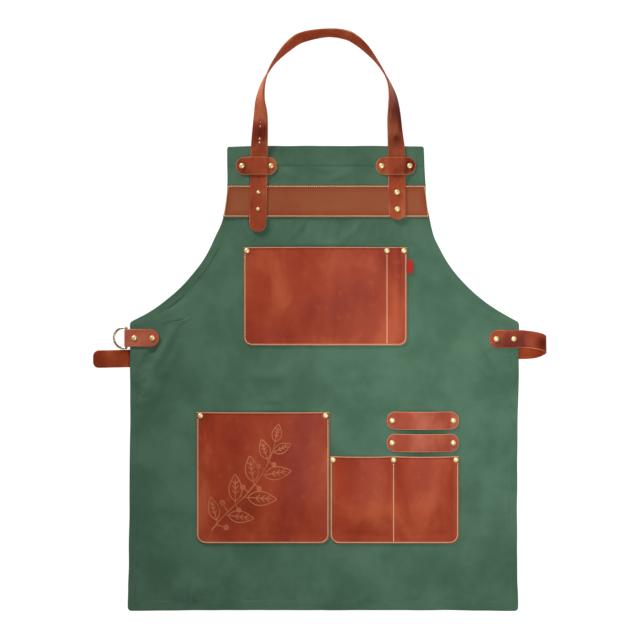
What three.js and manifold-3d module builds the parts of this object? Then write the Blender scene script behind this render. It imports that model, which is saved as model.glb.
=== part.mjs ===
import * as THREE from 'three';
import { mergeVertices } from 'three/addons/utils/BufferGeometryUtils.js';
import Module from 'manifold-3d';

const wasm = await Module();
wasm.setup();

// A canvas and leather work apron, lying face up on the floor with its bib towards +Y.
// All sizes are in millimetres. X = 0 is its middle line, Y = 0 its bottom edge, Z = 0 the floor.

// Clearances
const gap = 0.3;
const floorGap = 0.1;

// Canvas body
const apronLength = 788;
const apronWidth = 660;
const bibWidth = 334;
const bibFlare = 1.5;
const bibSide = 65;
const armholeDepth = 233;
const canvas = 1;
const sideHem = 12;
const bottomHem = 14;
const topHem = 33;
const hemStep = 0.6;
const bottomCorner = 6;
const hemMargin = 3;
const edgeFall = 30;
const edgeRise = 36;
const bibRise = 8;
const strapMargin = 6;
const tabMargin = 4;
const tabShelf = 54;
const foldHeight = 5;

// Leather
const pocketLeather = 2.2;
const bandLeather = 2.2;
const tabLeather = 2.2;
const neckLeather = 2.8;
const waistLeather = 3;
const seamFlat = 10;
const endFlat = 1;

// Rivets
const rivetCap = 4.6;
const smallRivetCap = 3.2;
const rivetRise = 2.6;
const rivetPost = 1.7;
const rivetBack = 4;
const backThick = 1.2;
const rivetHole = 2.2;

// Chest band, measured down from the top edge
const bandDrop = 66;
const bandHeight = 54;

// Neck strap
const neckStrap = 29;
const neckSpacing = 232;
const neckShift = 5.5;
const archRise = 192;
const leftLegDrop = 144.5;
const rightLegDrop = 124.5;
const leftLegLean = 3;
const rightLegLean = 2.2;
const neckRivetDrop = 78;
const neckRivetStep = 28.5;
const strapHole = 1.4;
const holeStep = 6.5;
const holePairStep = 27.5;
const lowHoleDrop = 53;

// Strap keepers, with their reach out from and in from the strap's middle
const keeperDrop = 33;
const keeperWidth = 30;
const keeperCrown = 0.8;
const keeperFoot = 1.5;
const keeperRivetInset = 10;
const leftKeeperOut = 39;
const leftKeeperIn = 30.5;
const rightKeeperOut = 32.5;
const rightKeeperIn = 35;

// Chest pocket, measured down from the top edge
const chestLeft = -137;
const chestWidth = 277;
const chestDrop = 171;
const chestHeight = 167;
const chestCorner = 14;
const penSlot = 34;
const chestBelly = 8;
const slotBelly = 6;
const chestRivetInset = 5.3;
const pocketRivetDrop = 6;

// Lower pockets, measured up from the bottom edge
const lowerPocketBase = 114;
const leftPocketLeft = -217;
const leftPocketWidth = 225;
const leftPocketHeight = 223;
const leftPocketBelly = 9;
const leftRivetInset = 6.3;
const pocketGap = 1.5;
const rightPocketWidth = 218.5;
const rightPocketHeight = 148;
const rightPocketBelly = 8;
const rightRivetInset = 4.9;
const dividerShift = 1.5;
const lowerCorner = 15.5;

// Tool loops over the lower right pocket
const loopWidth = 30.5;
const loopLength = 122.5;
const loopArch = 8;
const loopSpacing = 37.8;
const loopClear = 7.7;
const loopRivetInset = 9.3;

// Ring tab and its ring, measured down from the armhole's corner
const tabDrop = 27;
const tabWidth = 30;
const tabReach = 49.5;
const foldReach = 5;
const tabRivetInset = 7.3;
const tabRivetStep = 30.7;
const ringWire = 4;
const ringInside = 30.8;
const ringLeg = 5.5;
const ringCorner = 3;
const ringRoom = 0.5;

// Waist strap, its front end and its hidden stretch measured down from the armhole's corner
const waistStrap = 30;
const waistFrontReach = 50.5;
const waistFrontDrop = 28.5;
const waistRivetInset = 9.2;
const waistRivetStep = 29.7;
const waistDrop = 55;
const waistTilt = 13.6;
const waistTurn = 46;
const waistTurnHeight = 15;
const waistFreeEnd = 63;
const waistEndCorner = 9.7;

// Cloth label at the chest pocket
const labelReach = 9.6;
const labelHeight = 22;
const labelDrop = 22;

// Heights of the canvas face above the floor
const backRoom = floorGap + backThick + gap;
const hemFace = 2 * canvas;
const lowerFace = backRoom + canvas;
const bibFace = backRoom + 2 * canvas;
const chestFace = waistLeather + gap + floorGap + canvas;
const tabFace = backRoom + tabLeather + gap + 2 * canvas;

// Places along the length that several pieces share
const bibEnd = apronLength - bibSide;
const hipLine = bibEnd - armholeDepth;
const bandTop = apronLength - bandDrop;
const bandBottom = bandTop - bandHeight;
const chestTop = apronLength - chestDrop;
const tabLine = hipLine - tabDrop;
const frontLine = hipLine - waistFrontDrop;
const waistLine = hipLine - waistDrop;
const leftPocketTop = lowerPocketBase + leftPocketHeight;
const rightPocketTop = lowerPocketBase + rightPocketHeight;
const lowerLoopLine = rightPocketTop + loopClear + loopWidth / 2;
const upperLoopLine = lowerLoopLine + loopSpacing;
const lowerTop = Math.max(leftPocketTop, upperLoopLine + loopWidth / 2);
const waistLow = waistLine - (waistStrap + waistTilt) / 2;
const tabHigh = tabLine + tabWidth / 2;
const chestRight = chestLeft + chestWidth;
const leftPocketRight = leftPocketLeft + leftPocketWidth;
const rightPocketLeft = leftPocketRight + pocketGap;
const rightPocketEnd = rightPocketLeft + rightPocketWidth;

const looks = {
  canvas: { color: 0x4b705a, roughness: 0.95, metalness: 0 },
  pocket: { color: 0x96412d, roughness: 0.55, metalness: 0 },
  band: { color: 0x914e34, roughness: 0.7, metalness: 0 },
  strap: { color: 0x8a3a26, roughness: 0.4, metalness: 0 },
  brass: { color: 0xd9bf78, roughness: 0.3, metalness: 1 },
  ring: { color: 0xc8be96, roughness: 0.22, metalness: 1 },
  label: { color: 0xb0241c, roughness: 0.85, metalness: 0 },
};

// Turns lists of corners and triangles into one welded geometry
function fromLists(corners, triangles) {
  const geometry = new THREE.BufferGeometry();
  geometry.setAttribute('position', new THREE.Float32BufferAttribute(corners, 3));
  geometry.setIndex(triangles);
  return weld(geometry);
}

// Merges corners that meet and leaves out triangles that have shrunk to a line
function weld(geometry) {
  const bare = new THREE.BufferGeometry();
  bare.setAttribute('position', geometry.getAttribute('position').clone());
  if (geometry.index) {
    bare.setIndex(geometry.index.clone());
  }
  const merged = mergeVertices(bare, 1e-4);
  const index = merged.index.array;
  const kept = [];
  for (let i = 0; i < index.length; i += 3) {
    const [a, b, c] = [index[i], index[i + 1], index[i + 2]];
    if (a !== b && b !== c && c !== a) {
      kept.push(a, b, c);
    }
  }
  merged.setIndex(kept);
  return merged;
}

function toManifold(geometry) {
  const vertProperties = new Float32Array(geometry.getAttribute('position').array);
  const triVerts = new Uint32Array(geometry.index.array);
  return new wasm.Manifold(new wasm.Mesh({ numProp: 3, vertProperties, triVerts }));
}

function fromManifold(solid) {
  const mesh = solid.getMesh();
  return fromLists(Array.from(mesh.vertProperties), Array.from(mesh.triVerts));
}

// Drills upright holes through a piece
function drill(geometry, holes) {
  let solid = toManifold(geometry);
  const tall = 80;
  for (const hole of holes) {
    const bit = new THREE.CylinderGeometry(hole.radius, hole.radius, tall, 8);
    bit.rotateX(Math.PI / 2);
    bit.translate(hole.x, hole.y, 0);
    solid = solid.subtract(toManifold(weld(bit)));
  }
  return fromManifold(solid);
}

// A closed slab over a grid of points, each with a top and an under height
function slab(rows) {
  const corners = [];
  const triangles = [];
  const wide = rows[0].length;
  const count = rows.length * wide;
  for (const side of ['top', 'under']) {
    for (const row of rows) {
      for (const point of row) {
        corners.push(point.x, point.y, point[side]);
      }
    }
  }
  const quad = (a, b, c, d) => triangles.push(a, b, c, a, c, d);
  for (let i = 0; i + 1 < rows.length; i += 1) {
    for (let j = 0; j + 1 < wide; j += 1) {
      const a = i * wide + j;
      quad(a, a + 1, a + wide + 1, a + wide);
      quad(count + a, count + a + wide, count + a + wide + 1, count + a + 1);
    }
    const left = i * wide;
    const right = left + wide - 1;
    quad(left, left + wide, count + left + wide, count + left);
    quad(right, count + right, count + right + wide, right + wide);
  }
  const last = (rows.length - 1) * wide;
  for (let j = 0; j + 1 < wide; j += 1) {
    quad(j, count + j, count + j + 1, j + 1);
    quad(last + j, last + j + 1, count + last + j + 1, count + last + j);
  }
  return fromLists(corners, triangles);
}

// A closed strap through stations that give its middle, its across direction and its width
function strapSolid(stations, thick) {
  const corners = [];
  const triangles = [];
  stations.forEach((station, i) => {
    const before = stations[Math.max(i - 1, 0)].at;
    const after = stations[Math.min(i + 1, stations.length - 1)].at;
    const along = after.clone().sub(before).normalize();
    const normal = station.across.clone().cross(along).normalize();
    for (const [side, face] of [[-1, -1], [1, -1], [1, 1], [-1, 1]]) {
      const corner = station.at.clone();
      corner.addScaledVector(station.across, side * station.width / 2);
      corner.addScaledVector(normal, face * thick / 2);
      corners.push(corner.x, corner.y, corner.z);
    }
  });
  for (let i = 0; i + 1 < stations.length; i += 1) {
    for (let k = 0; k < 4; k += 1) {
      const a = 4 * i + k;
      const b = 4 * i + (k + 1) % 4;
      triangles.push(a, b + 4, b, a, a + 4, b + 4);
    }
  }
  const end = 4 * (stations.length - 1);
  triangles.push(0, 1, 2, 0, 2, 3, end, end + 2, end + 1, end, end + 3, end + 2);
  return fromLists(corners, triangles);
}

// Steps back from a strap's end, with what a rounded corner takes off each side there
function roundedEnd(radius) {
  return [0, 30, 60, 90].map((degrees) => {
    const turn = THREE.MathUtils.degToRad(degrees);
    return { back: radius * (1 - Math.cos(turn)), inset: radius * (1 - Math.sin(turn)) };
  });
}

// Height read off a table of places and values, level before its first row and after its last
function ramp(place, table) {
  const rows = [...table].sort((a, b) => a.at - b.at);
  if (place <= rows[0].at) {
    return rows[0].value;
  }
  for (let i = 0; i + 1 < rows.length; i += 1) {
    const [low, high] = [rows[i], rows[i + 1]];
    if (place <= high.at) {
      return THREE.MathUtils.mapLinear(place, low.at, high.at, low.value, high.value);
    }
  }
  return rows[rows.length - 1].value;
}

// Outline of the canvas

const shoulder = bibWidth / 2 + bibFlare;
const hipSwell = apronWidth / 2 - shoulder;
const armhole = new THREE.CubicBezierCurve(
  new THREE.Vector2(shoulder, bibEnd),
  new THREE.Vector2(shoulder, bibEnd - 0.26 * armholeDepth),
  new THREE.Vector2(shoulder + 0.165 * hipSwell, hipLine + 0.282 * armholeDepth),
  new THREE.Vector2(apronWidth / 2, hipLine),
);
const armholePoints = armhole.getPoints(60);

function halfWidth(y) {
  if (y >= bibEnd) {
    return THREE.MathUtils.mapLinear(y, bibEnd, apronLength, shoulder, bibWidth / 2);
  }
  if (y > hipLine) {
    return ramp(y, armholePoints.map((point) => ({ at: point.y, value: point.x })));
  }
  const corner = THREE.MathUtils.clamp(bottomCorner - y, 0, bottomCorner);
  return apronWidth / 2 - bottomCorner + Math.sqrt(bottomCorner ** 2 - corner ** 2);
}

// Canvas

// Face height in the middle of the cloth
const middleFace = [
  { at: 0, value: hemFace },
  { at: bottomHem, value: hemFace },
  { at: bottomHem + edgeFall, value: lowerFace },
  { at: lowerTop + seamFlat, value: lowerFace },
  { at: waistLow - strapMargin, value: chestFace },
  { at: chestTop + bibRise, value: chestFace },
  { at: bandBottom - bibRise, value: bibFace },
];

// Face height along the side hems, up on the strap and the ring tab at the waist
const edgeFace = [
  { at: waistLow - strapMargin - edgeRise, value: hemFace },
  { at: waistLow - strapMargin, value: tabFace },
  { at: tabHigh + tabMargin, value: tabFace },
  { at: tabHigh + tabMargin + edgeRise, value: hemFace },
  { at: chestTop + bibRise, value: hemFace },
  { at: bandBottom - bibRise, value: bibFace },
];

// Width of the level shelf beside the side edge
const edgeShelf = [
  { at: waistLow - strapMargin - edgeRise, value: 0 },
  { at: waistLow - strapMargin, value: tabShelf },
  { at: tabHigh + tabMargin, value: tabShelf },
  { at: tabHigh + tabMargin + edgeRise, value: 0 },
];

// Soft folds: middle as shares of the half width and the length, turn from the X axis in degrees,
// half sizes as shares of the apron's width, height as a share of the fold height
const folds = [
  { across: -0.88, up: 0.485, turn: 72, long: 0.094, wide: 0.036, high: 1 },
  { across: 0.75, up: 0.55, turn: -40, long: 0.094, wide: 0.033, high: 0.8 },
  { across: -0.7, up: 0.04, turn: 90, long: 0.058, wide: 0.058, high: 1 },
  { across: 0.02, up: 0.035, turn: 90, long: 0.052, wide: 0.055, high: 0.7 },
  { across: -0.28, up: 0.505, turn: 4, long: 0.094, wide: 0.027, high: 0.5 },
  { across: 0.8, up: 0.12, turn: 70, long: 0.106, wide: 0.052, high: 0.6 },
];

function foldRise(x, y) {
  let rise = 0;
  for (const fold of folds) {
    const turn = THREE.MathUtils.degToRad(fold.turn);
    const dx = x - fold.across * apronWidth / 2;
    const dy = y - fold.up * apronLength;
    const along = (dx * Math.cos(turn) + dy * Math.sin(turn)) / (fold.long * apronWidth);
    const aside = (dy * Math.cos(turn) - dx * Math.sin(turn)) / (fold.wide * apronWidth);
    const inside = Math.max(1 - along ** 2 - aside ** 2, 0);
    rise += fold.high * foldHeight * inside ** 2;
  }
  return rise;
}

// How far out from the middle line the pockets need the cloth at its middle height
function pocketReach(y) {
  if (y > chestTop + bibRise) {
    return 0;
  }
  if (y > chestTop - chestHeight - bibRise) {
    return Math.max(-chestLeft, chestRight);
  }
  return Math.max(-leftPocketLeft, rightPocketEnd);
}

function canvasRow(y) {
  const half = halfWidth(y);
  const slope = y > hipLine ? (halfWidth(y - 1) - halfWidth(y + 1)) / 2 : 0;
  const hemRun = sideHem * Math.hypot(1, slope);
  const shelf = Math.max(ramp(y, edgeShelf), hemRun + hemMargin);
  const fall = THREE.MathUtils.clamp(half - pocketReach(y) - shelf, hemMargin, edgeFall);
  const inner = shelf + fall;
  const insets = [0, hemRun, hemRun + hemStep];
  const fallSteps = 3;
  for (let k = 0; k <= fallSteps; k += 1) {
    insets.push(shelf + fall * k / fallSteps);
  }
  const middleCells = 12;
  const places = insets.map((inset) => ({ x: inset - half, inset }));
  for (let k = 1; k < middleCells; k += 1) {
    places.push({ x: (half - inner) * (2 * k / middleCells - 1), inset: inner });
  }
  places.push(...insets.map((inset) => ({ x: half - inset, inset })).reverse());
  const hemRow = y <= bottomHem || y >= apronLength - topHem;
  return places.map(({ x, inset }) => {
    const share = THREE.MathUtils.smoothstep(inset, shelf, inner);
    const face = THREE.MathUtils.lerp(ramp(y, edgeFace), ramp(y, middleFace), share);
    const top = face + foldRise(x, y);
    const layers = hemRow || inset <= hemRun ? 2 : 1;
    return { x, y, top, under: top - layers * canvas };
  });
}

// Rows of the grid: at each named place, and evenly between them
function canvasRowPlaces() {
  const named = [0, bottomCorner / 4, bottomCorner, bottomHem, bottomHem + hemStep];
  named.push(hipLine, bibEnd, apronLength - topHem - hemStep, apronLength - topHem, apronLength);
  for (const table of [middleFace, edgeFace]) {
    named.push(...table.map((row) => row.at));
  }
  named.sort((a, b) => a - b);
  const places = [named[0]];
  const longest = 32;
  for (const place of named.slice(1)) {
    const last = places[places.length - 1];
    const cells = Math.ceil((place - last) / longest);
    if (place - last > hemStep / 2) {
      for (let k = 1; k <= cells; k += 1) {
        places.push(last + (place - last) * k / cells);
      }
    }
  }
  return places;
}

// Leather pieces on the canvas

// A patch pocket: sewn flat round its edge and along its dividers, slack between them
function pocketSolid(pocket) {
  const { left, right, bottom, top, face, corner, compartments } = pocket;
  const columns = [];
  for (const part of compartments) {
    const flatStart = part.start === left ? seamFlat : seamFlat / 2;
    const flatEnd = part.end === right ? seamFlat : seamFlat / 2;
    const start = part.start + flatStart;
    const end = part.end - flatEnd;
    columns.push({ x: part.start, slack: 0 });
    for (const share of [0, 0.12, 0.3, 0.5, 0.7, 0.88, 1]) {
      const slack = part.belly * Math.sin(Math.PI * share) ** 0.7;
      columns.push({ x: THREE.MathUtils.lerp(start, end, share), slack: share % 1 ? slack : 0 });
    }
  }
  columns.push({ x: right, slack: 0 });
  const middle = (left + right) / 2;
  const riseShare = 0.35;
  const rise = riseShare * (top - bottom);
  const heights = roundedEnd(corner);
  for (const share of [0.35, 0.7, 1]) {
    heights.push({ back: corner + rise * share, inset: 0 });
  }
  heights.push({ back: top - bottom, inset: 0 });
  const rows = heights.map(({ back, inset }) => columns.map(({ x, slack }) => {
    const fill = Math.sin(Math.min(Math.max(back - corner, 0) / rise, 1) * Math.PI / 2);
    const under = face + gap + slack * fill;
    const drawnIn = middle + (x - middle) * (1 - inset / (right - middle));
    return { x: drawnIn, y: bottom + back, top: under + pocketLeather, under };
  }));
  return slab(rows);
}

// A leather strip along X through stations of place, under height and inset from its full width
function stripSolid(stations, line, width, thick) {
  const rows = [-1, 1].map((side) => stations.map(({ x, under, inset }) => {
    return { x, y: line + side * (width / 2 - inset), top: under + thick, under };
  }));
  return slab(rows);
}

// Stations of a strip with round ends, from the heights that it has in between
function roundEndedStations(start, end, width, seat, between) {
  const steps = roundedEnd(width / 2 - endFlat);
  const first = steps.map(({ back, inset }) => ({ x: start + back, under: seat, inset }));
  const last = steps.map(({ back, inset }) => ({ x: end - back, under: seat, inset })).reverse();
  const middle = between.map(({ x, under }) => ({ x, under, inset: 0 }));
  return [...first, ...middle, ...last];
}

// A domed rivet with its post and back cap, between an under height and a top height
function rivetSolid(under, top, cap) {
  const seat = top + gap;
  const back = under - gap;
  const backCap = Math.min(rivetBack, cap);
  const outline = [
    [0, back - backThick],
    [backCap, back - backThick],
    [backCap, back],
    [rivetPost, back],
    [rivetPost, seat],
    [cap, seat],
    [cap * 0.72, seat + rivetRise * 0.75],
    [0, seat + rivetRise],
  ];
  const profile = outline.map(([radius, height]) => new THREE.Vector2(radius, height));
  const solid = new THREE.LatheGeometry(profile, 10);
  solid.rotateX(Math.PI / 2);
  return weld(solid);
}

// Where every rivet goes: the heights of what it holds and the size of its cap
const rivets = [];

function addRivet(name, x, y, under, top, cap = rivetCap) {
  rivets.push({ name, x, y, under, top, cap });
}

function holesFor(...names) {
  return rivets
    .filter((rivet) => names.some((name) => rivet.name.startsWith(name)))
    .map(({ x, y }) => ({ x, y, radius: rivetHole }));
}

// Neck strap: stations round the arch, as shares of half the leg spacing and of the rise
// above the bib, with the roll onto its outer edge in degrees and the height of its low edge

const neckRoute = [
  { across: -1, up: 0, roll: 8, low: 4.2 },
  { across: -0.985, up: 0.176, roll: 25, low: 3 },
  { across: -0.98, up: 0.285, roll: 38, low: 1.8 },
  { across: -0.987, up: 0.402, roll: 57, low: 0.7 },
  { across: -0.952, up: 0.529, roll: 73, low: 0.1 },
  { across: -0.884, up: 0.635, roll: 84, low: 0.1 },
  { across: -0.76, up: 0.748, roll: 93, low: 0.1 },
  { across: -0.557, up: 0.876, roll: 108, low: 0.1 },
  { across: -0.359, up: 0.948, roll: 110, low: 0.1 },
  { across: -0.009, up: 0.994, roll: 105, low: 0.1 },
  { across: 0.252, up: 0.972, roll: 107, low: 0.1 },
  { across: 0.404, up: 0.925, roll: 104, low: 0.1 },
  { across: 0.559, up: 0.849, roll: 99, low: 0.1 },
  { across: 0.705, up: 0.75, roll: 90, low: 0.1 },
  { across: 0.821, up: 0.643, roll: 84, low: 0.1 },
  { across: 0.9, up: 0.544, roll: 77, low: 0.1 },
  { across: 0.947, up: 0.438, roll: 61, low: 0.5 },
  { across: 0.964, up: 0.331, roll: 46, low: 1.4 },
  { across: 0.971, up: 0.226, roll: 33, low: 2.4 },
  { across: 0.984, up: 0.107, roll: 24, low: 3.4 },
  { across: 1, up: 0, roll: 8, low: 4.2 },
];

const neckTop = bibFace + gap + bandLeather + gap;
const neckSeat = bibFace + 2 * gap;

// The two legs on the bib: each leans a little outwards from the top edge down to its end
const legs = {
  left: { side: -1, drop: leftLegDrop, lean: leftLegLean },
  right: { side: 1, drop: rightLegDrop, lean: rightLegLean },
};

function legX(leg, y) {
  const outward = leg.lean * (apronLength - y) / leg.drop;
  return neckShift + leg.side * (neckSpacing / 2 + outward);
}

// One leg, from its round end up to the keeper
function neckLeg(leg) {
  const end = apronLength - leg.drop;
  const keeperLow = apronLength - keeperDrop - keeperWidth / 2;
  const rows = roundedEnd(neckStrap / 2 - endFlat).map(({ back, inset }) => {
    return { y: end + back, low: neckTop, width: neckStrap - 2 * inset };
  });
  rows.push({ y: bandTop, low: neckTop, width: neckStrap });
  rows.push({ y: keeperLow - gap, low: neckSeat, width: neckStrap });
  rows.push({ y: keeperLow + keeperWidth + gap, low: neckSeat, width: neckStrap });
  return rows.map((row) => ({ ...row, x: legX(leg, row.y), roll: 0 }));
}

function neckStations() {
  const arch = neckRoute.map(({ across, up, roll, low }) => {
    const x = neckShift + across * neckSpacing / 2;
    return { x, y: apronLength + up * archRise, low, roll, width: neckStrap };
  });
  const rows = [...neckLeg(legs.left), ...arch, ...neckLeg(legs.right).reverse()];
  const spots = rows.map(({ x, y, low, roll }) => {
    const turn = THREE.MathUtils.degToRad(roll);
    const rise = Math.sin(turn) * neckStrap / 2 + Math.abs(Math.cos(turn)) * neckLeather / 2;
    return new THREE.Vector3(x, y, low + rise);
  });
  return rows.map(({ roll, width }, i) => {
    const along = spots[Math.min(i + 1, spots.length - 1)].clone().sub(spots[Math.max(i - 1, 0)]);
    const inward = new THREE.Vector3(along.y, -along.x, 0).normalize();
    const turn = THREE.MathUtils.degToRad(roll);
    const across = inward.multiplyScalar(Math.cos(turn)).add(new THREE.Vector3(0, 0, Math.sin(turn)));
    return { at: spots[i], across, width };
  });
}

// Waist strap: its turn beyond the right edge, as shares of the turn's reach and height,
// and of the way down from the front end's line to the line of the stretch underneath

const waistRoute = [
  { out: 0, high: 0, down: 0 },
  { out: 0.2, high: 0.16, down: 0.02 },
  { out: 0.5, high: 0.82, down: 0.12 },
  { out: 0.78, high: 1, down: 0.24 },
  { out: 0.93, high: 0.72, down: 0.32 },
  { out: 1, high: 0.1, down: 0.42 },
  { out: 0.95, high: -0.6, down: 0.52 },
  { out: 0.8, high: -1, down: 0.66 },
  { out: 0.5, high: -1, down: 0.86 },
  { out: 0, high: -1, down: 1 },
];

const waistFrontSeat = tabFace + gap;
const frontMiddle = waistFrontSeat + waistLeather / 2;
const waistMiddle = waistLeather / 2;

function waistY(x) {
  return waistLine + waistTilt * x / apronWidth;
}

function waistStations() {
  const edge = apronWidth / 2;
  const across = new THREE.Vector3(0, 1, 0);
  const start = edge - waistFrontReach;
  const rows = roundedEnd(waistStrap / 2 - endFlat).map(({ back, inset }) => {
    return { x: start + back, y: frontLine, z: frontMiddle, width: waistStrap - 2 * inset };
  });
  const reach = waistTurn - waistLeather / 2;
  const crest = waistTurnHeight - waistLeather / 2;
  for (const { out, high, down } of waistRoute) {
    const up = frontMiddle + high * (crest - frontMiddle);
    const low = frontMiddle + high * (frontMiddle - waistMiddle);
    const y = THREE.MathUtils.lerp(frontLine, waistY(edge), down);
    rows.push({ x: edge + out * reach, y, z: high > 0 ? up : low, width: waistStrap });
  }
  const end = -edge - waistFreeEnd;
  const flat = 6;
  for (let k = 1; k < flat; k += 1) {
    const x = THREE.MathUtils.lerp(edge, end, k / flat);
    rows.push({ x, y: waistY(x), z: waistMiddle, width: waistStrap });
  }
  for (const { back, inset } of roundedEnd(waistEndCorner).reverse()) {
    const x = end + back;
    rows.push({ x, y: waistY(x), z: waistMiddle, width: waistStrap - 2 * inset });
  }
  return rows.map(({ x, y, z, width }) => ({ at: new THREE.Vector3(x, y, z), across, width }));
}

// Ring tab: a leaf under the canvas, a fold round the ring's bar and a leaf on top

const foldMiddle = ringWire / 2 + ringRoom + tabLeather / 2;
const foldX = -apronWidth / 2 - foldReach;
const backLeaf = backRoom + tabLeather / 2;
const frontLeaf = tabFace + gap + tabLeather / 2;
const barHeight = (backLeaf + frontLeaf) / 2;

function tabStations() {
  const across = new THREE.Vector3(0, -1, 0);
  const end = tabReach - apronWidth / 2;
  const ends = roundedEnd(tabWidth / 2 - endFlat);
  const leaf = ends.map(({ back, inset }) => ({ x: end - back, width: tabWidth - 2 * inset }));
  const flare = foldReach + tabRivetInset - rivetCap - gap;
  leaf.push({ x: foldX + flare, width: tabWidth });
  const rows = leaf.map(({ x, width }) => ({ x, z: backLeaf, width }));
  const bulge = foldMiddle - 0.25 * (foldMiddle - (frontLeaf - backLeaf) / 2);
  rows.push({ x: foldX + flare / 2, z: barHeight - bulge, width: tabWidth });
  const bends = 6;
  for (let k = 0; k <= bends; k += 1) {
    const turn = -Math.PI / 2 - Math.PI * k / bends;
    const x = foldX + foldMiddle * Math.cos(turn);
    rows.push({ x, z: barHeight + foldMiddle * Math.sin(turn), width: tabWidth });
  }
  rows.push({ x: foldX + flare / 2, z: barHeight + bulge, width: tabWidth });
  rows.push(...leaf.map(({ x, width }) => ({ x, z: frontLeaf, width })).reverse());
  return rows.map(({ x, z, width }) => ({ at: new THREE.Vector3(x, tabLine, z), across, width }));
}

// The ring's middle line in its own plane: a bar on the Y axis and a bow towards -X
function ringLine() {
  const half = (ringInside + ringWire) / 2;
  const bow = [];
  const cornerSteps = 2;
  for (let k = 0; k <= cornerSteps; k += 1) {
    const turn = Math.PI / 2 * k / cornerSteps;
    const x = -ringCorner * (1 - Math.cos(turn));
    bow.push([x, half - ringCorner + ringCorner * Math.sin(turn)]);
  }
  const bowSteps = 10;
  for (let k = 0; k <= bowSteps / 2; k += 1) {
    const turn = Math.PI / 2 + Math.PI * k / bowSteps;
    bow.push([half * Math.cos(turn) - ringLeg, half * Math.sin(turn)]);
  }
  const mirrored = bow.slice(0, -1).map(([x, y]) => [x, -y]).reverse();
  return [[0, 0], ...bow, ...mirrored].map(([x, y]) => new THREE.Vector3(x, y, 0));
}

// A round wire along a closed flat line
function wireSolid(line, radius, sides) {
  const corners = [];
  const triangles = [];
  const count = line.length;
  line.forEach((point, i) => {
    const along = line[(i + 1) % count].clone().sub(line[(i + count - 1) % count]).normalize();
    const outward = new THREE.Vector3(along.y, -along.x, 0);
    for (let k = 0; k < sides; k += 1) {
      const turn = 2 * Math.PI * (k + 0.5) / sides;
      const corner = point.clone().addScaledVector(outward, radius * Math.cos(turn));
      corners.push(corner.x, corner.y, radius * Math.sin(turn));
      const a = i * sides + k;
      const b = i * sides + (k + 1) % sides;
      const c = ((i + 1) % count) * sides + (k + 1) % sides;
      const d = ((i + 1) % count) * sides + k;
      triangles.push(a, c, b, a, d, c);
    }
  });
  return fromLists(corners, triangles);
}

// Rivet places

const keeperLine = apronLength - keeperDrop;
const keeperTop = bibFace + gap + pocketLeather;
const leftKeeperMiddle = legX(legs.left, keeperLine);
const rightKeeperMiddle = legX(legs.right, keeperLine);
const keepers = [
  { name: 'keeper_left', middle: leftKeeperMiddle, start: -leftKeeperOut, end: leftKeeperIn },
  { name: 'keeper_right', middle: rightKeeperMiddle, start: -rightKeeperIn, end: rightKeeperOut },
];
for (const { name, middle, start, end } of keepers) {
  const under = bibFace - 2 * canvas;
  addRivet(`${name}_rivet_a`, middle + start + keeperRivetInset, keeperLine, under, keeperTop);
  addRivet(`${name}_rivet_b`, middle + end - keeperRivetInset, keeperLine, under, keeperTop);
}

for (const [name, cap] of [['left', smallRivetCap], ['right', rivetCap]]) {
  const under = bibFace - canvas;
  const top = neckTop + neckLeather;
  for (const [letter, drop] of [['a', neckRivetDrop], ['b', neckRivetDrop + neckRivetStep]]) {
    const y = apronLength - drop;
    addRivet(`neck_${name}_rivet_${letter}`, legX(legs[name], y), y, under, top, cap);
  }
}

const chestDivider = chestRight - penSlot;
const chestPanel = chestFace + gap + pocketLeather;
const chestRivetLine = chestTop - pocketRivetDrop;
[chestLeft + chestRivetInset, chestDivider, chestRight - chestRivetInset].forEach((x, i) => {
  addRivet(`chest_rivet_${'abc'[i]}`, x, chestRivetLine, chestFace - canvas, chestPanel);
});

const lowerPanel = lowerFace + gap + pocketLeather;
const lowerBack = lowerFace - canvas;
const leftRivetLine = leftPocketTop - pocketRivetDrop;
[leftPocketLeft + leftRivetInset, leftPocketRight - leftRivetInset].forEach((x, i) => {
  addRivet(`left_pocket_rivet_${'ab'[i]}`, x, leftRivetLine, lowerBack, lowerPanel);
});

const rightDivider = (rightPocketLeft + rightPocketEnd) / 2 - dividerShift;
const rightRivetLine = rightPocketTop - pocketRivetDrop;
[rightPocketLeft + rightRivetInset, rightDivider, rightPocketEnd - rightRivetInset].forEach((x, i) => {
  addRivet(`right_pocket_rivet_${'abc'[i]}`, x, rightRivetLine, lowerBack, lowerPanel);
});

const loops = [
  { name: 'tool_loop_upper', line: upperLoopLine },
  { name: 'tool_loop_lower', line: lowerLoopLine },
];
for (const { name, line } of loops) {
  const start = rightPocketEnd - loopLength;
  addRivet(`${name}_rivet_a`, start + loopRivetInset, line, lowerBack, lowerPanel);
  addRivet(`${name}_rivet_b`, rightPocketEnd - loopRivetInset, line, lowerBack, lowerPanel);
}

const tabTop = frontLeaf + tabLeather / 2;
for (const [letter, inset] of [['a', tabRivetInset], ['b', tabRivetInset + tabRivetStep]]) {
  const x = inset - apronWidth / 2;
  addRivet(`ring_tab_rivet_${letter}`, x, tabLine, backRoom, tabTop);
}

const waistTop = waistFrontSeat + waistLeather;
for (const [letter, inset] of [['a', waistRivetInset + waistRivetStep], ['b', waistRivetInset]]) {
  const x = apronWidth / 2 - inset;
  addRivet(`waist_rivet_${letter}`, x, frontLine, tabFace - 2 * canvas, waistTop);
}

// The assembly

const apron = new THREE.Group();

function add(name, geometry, look) {
  const mesh = new THREE.Mesh(geometry, new THREE.MeshStandardMaterial(looks[look]));
  mesh.name = name;
  apron.add(mesh);
  return mesh;
}

add('canvas_body', drill(slab(canvasRowPlaces().map(canvasRow)), holesFor('')), 'canvas');

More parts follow.
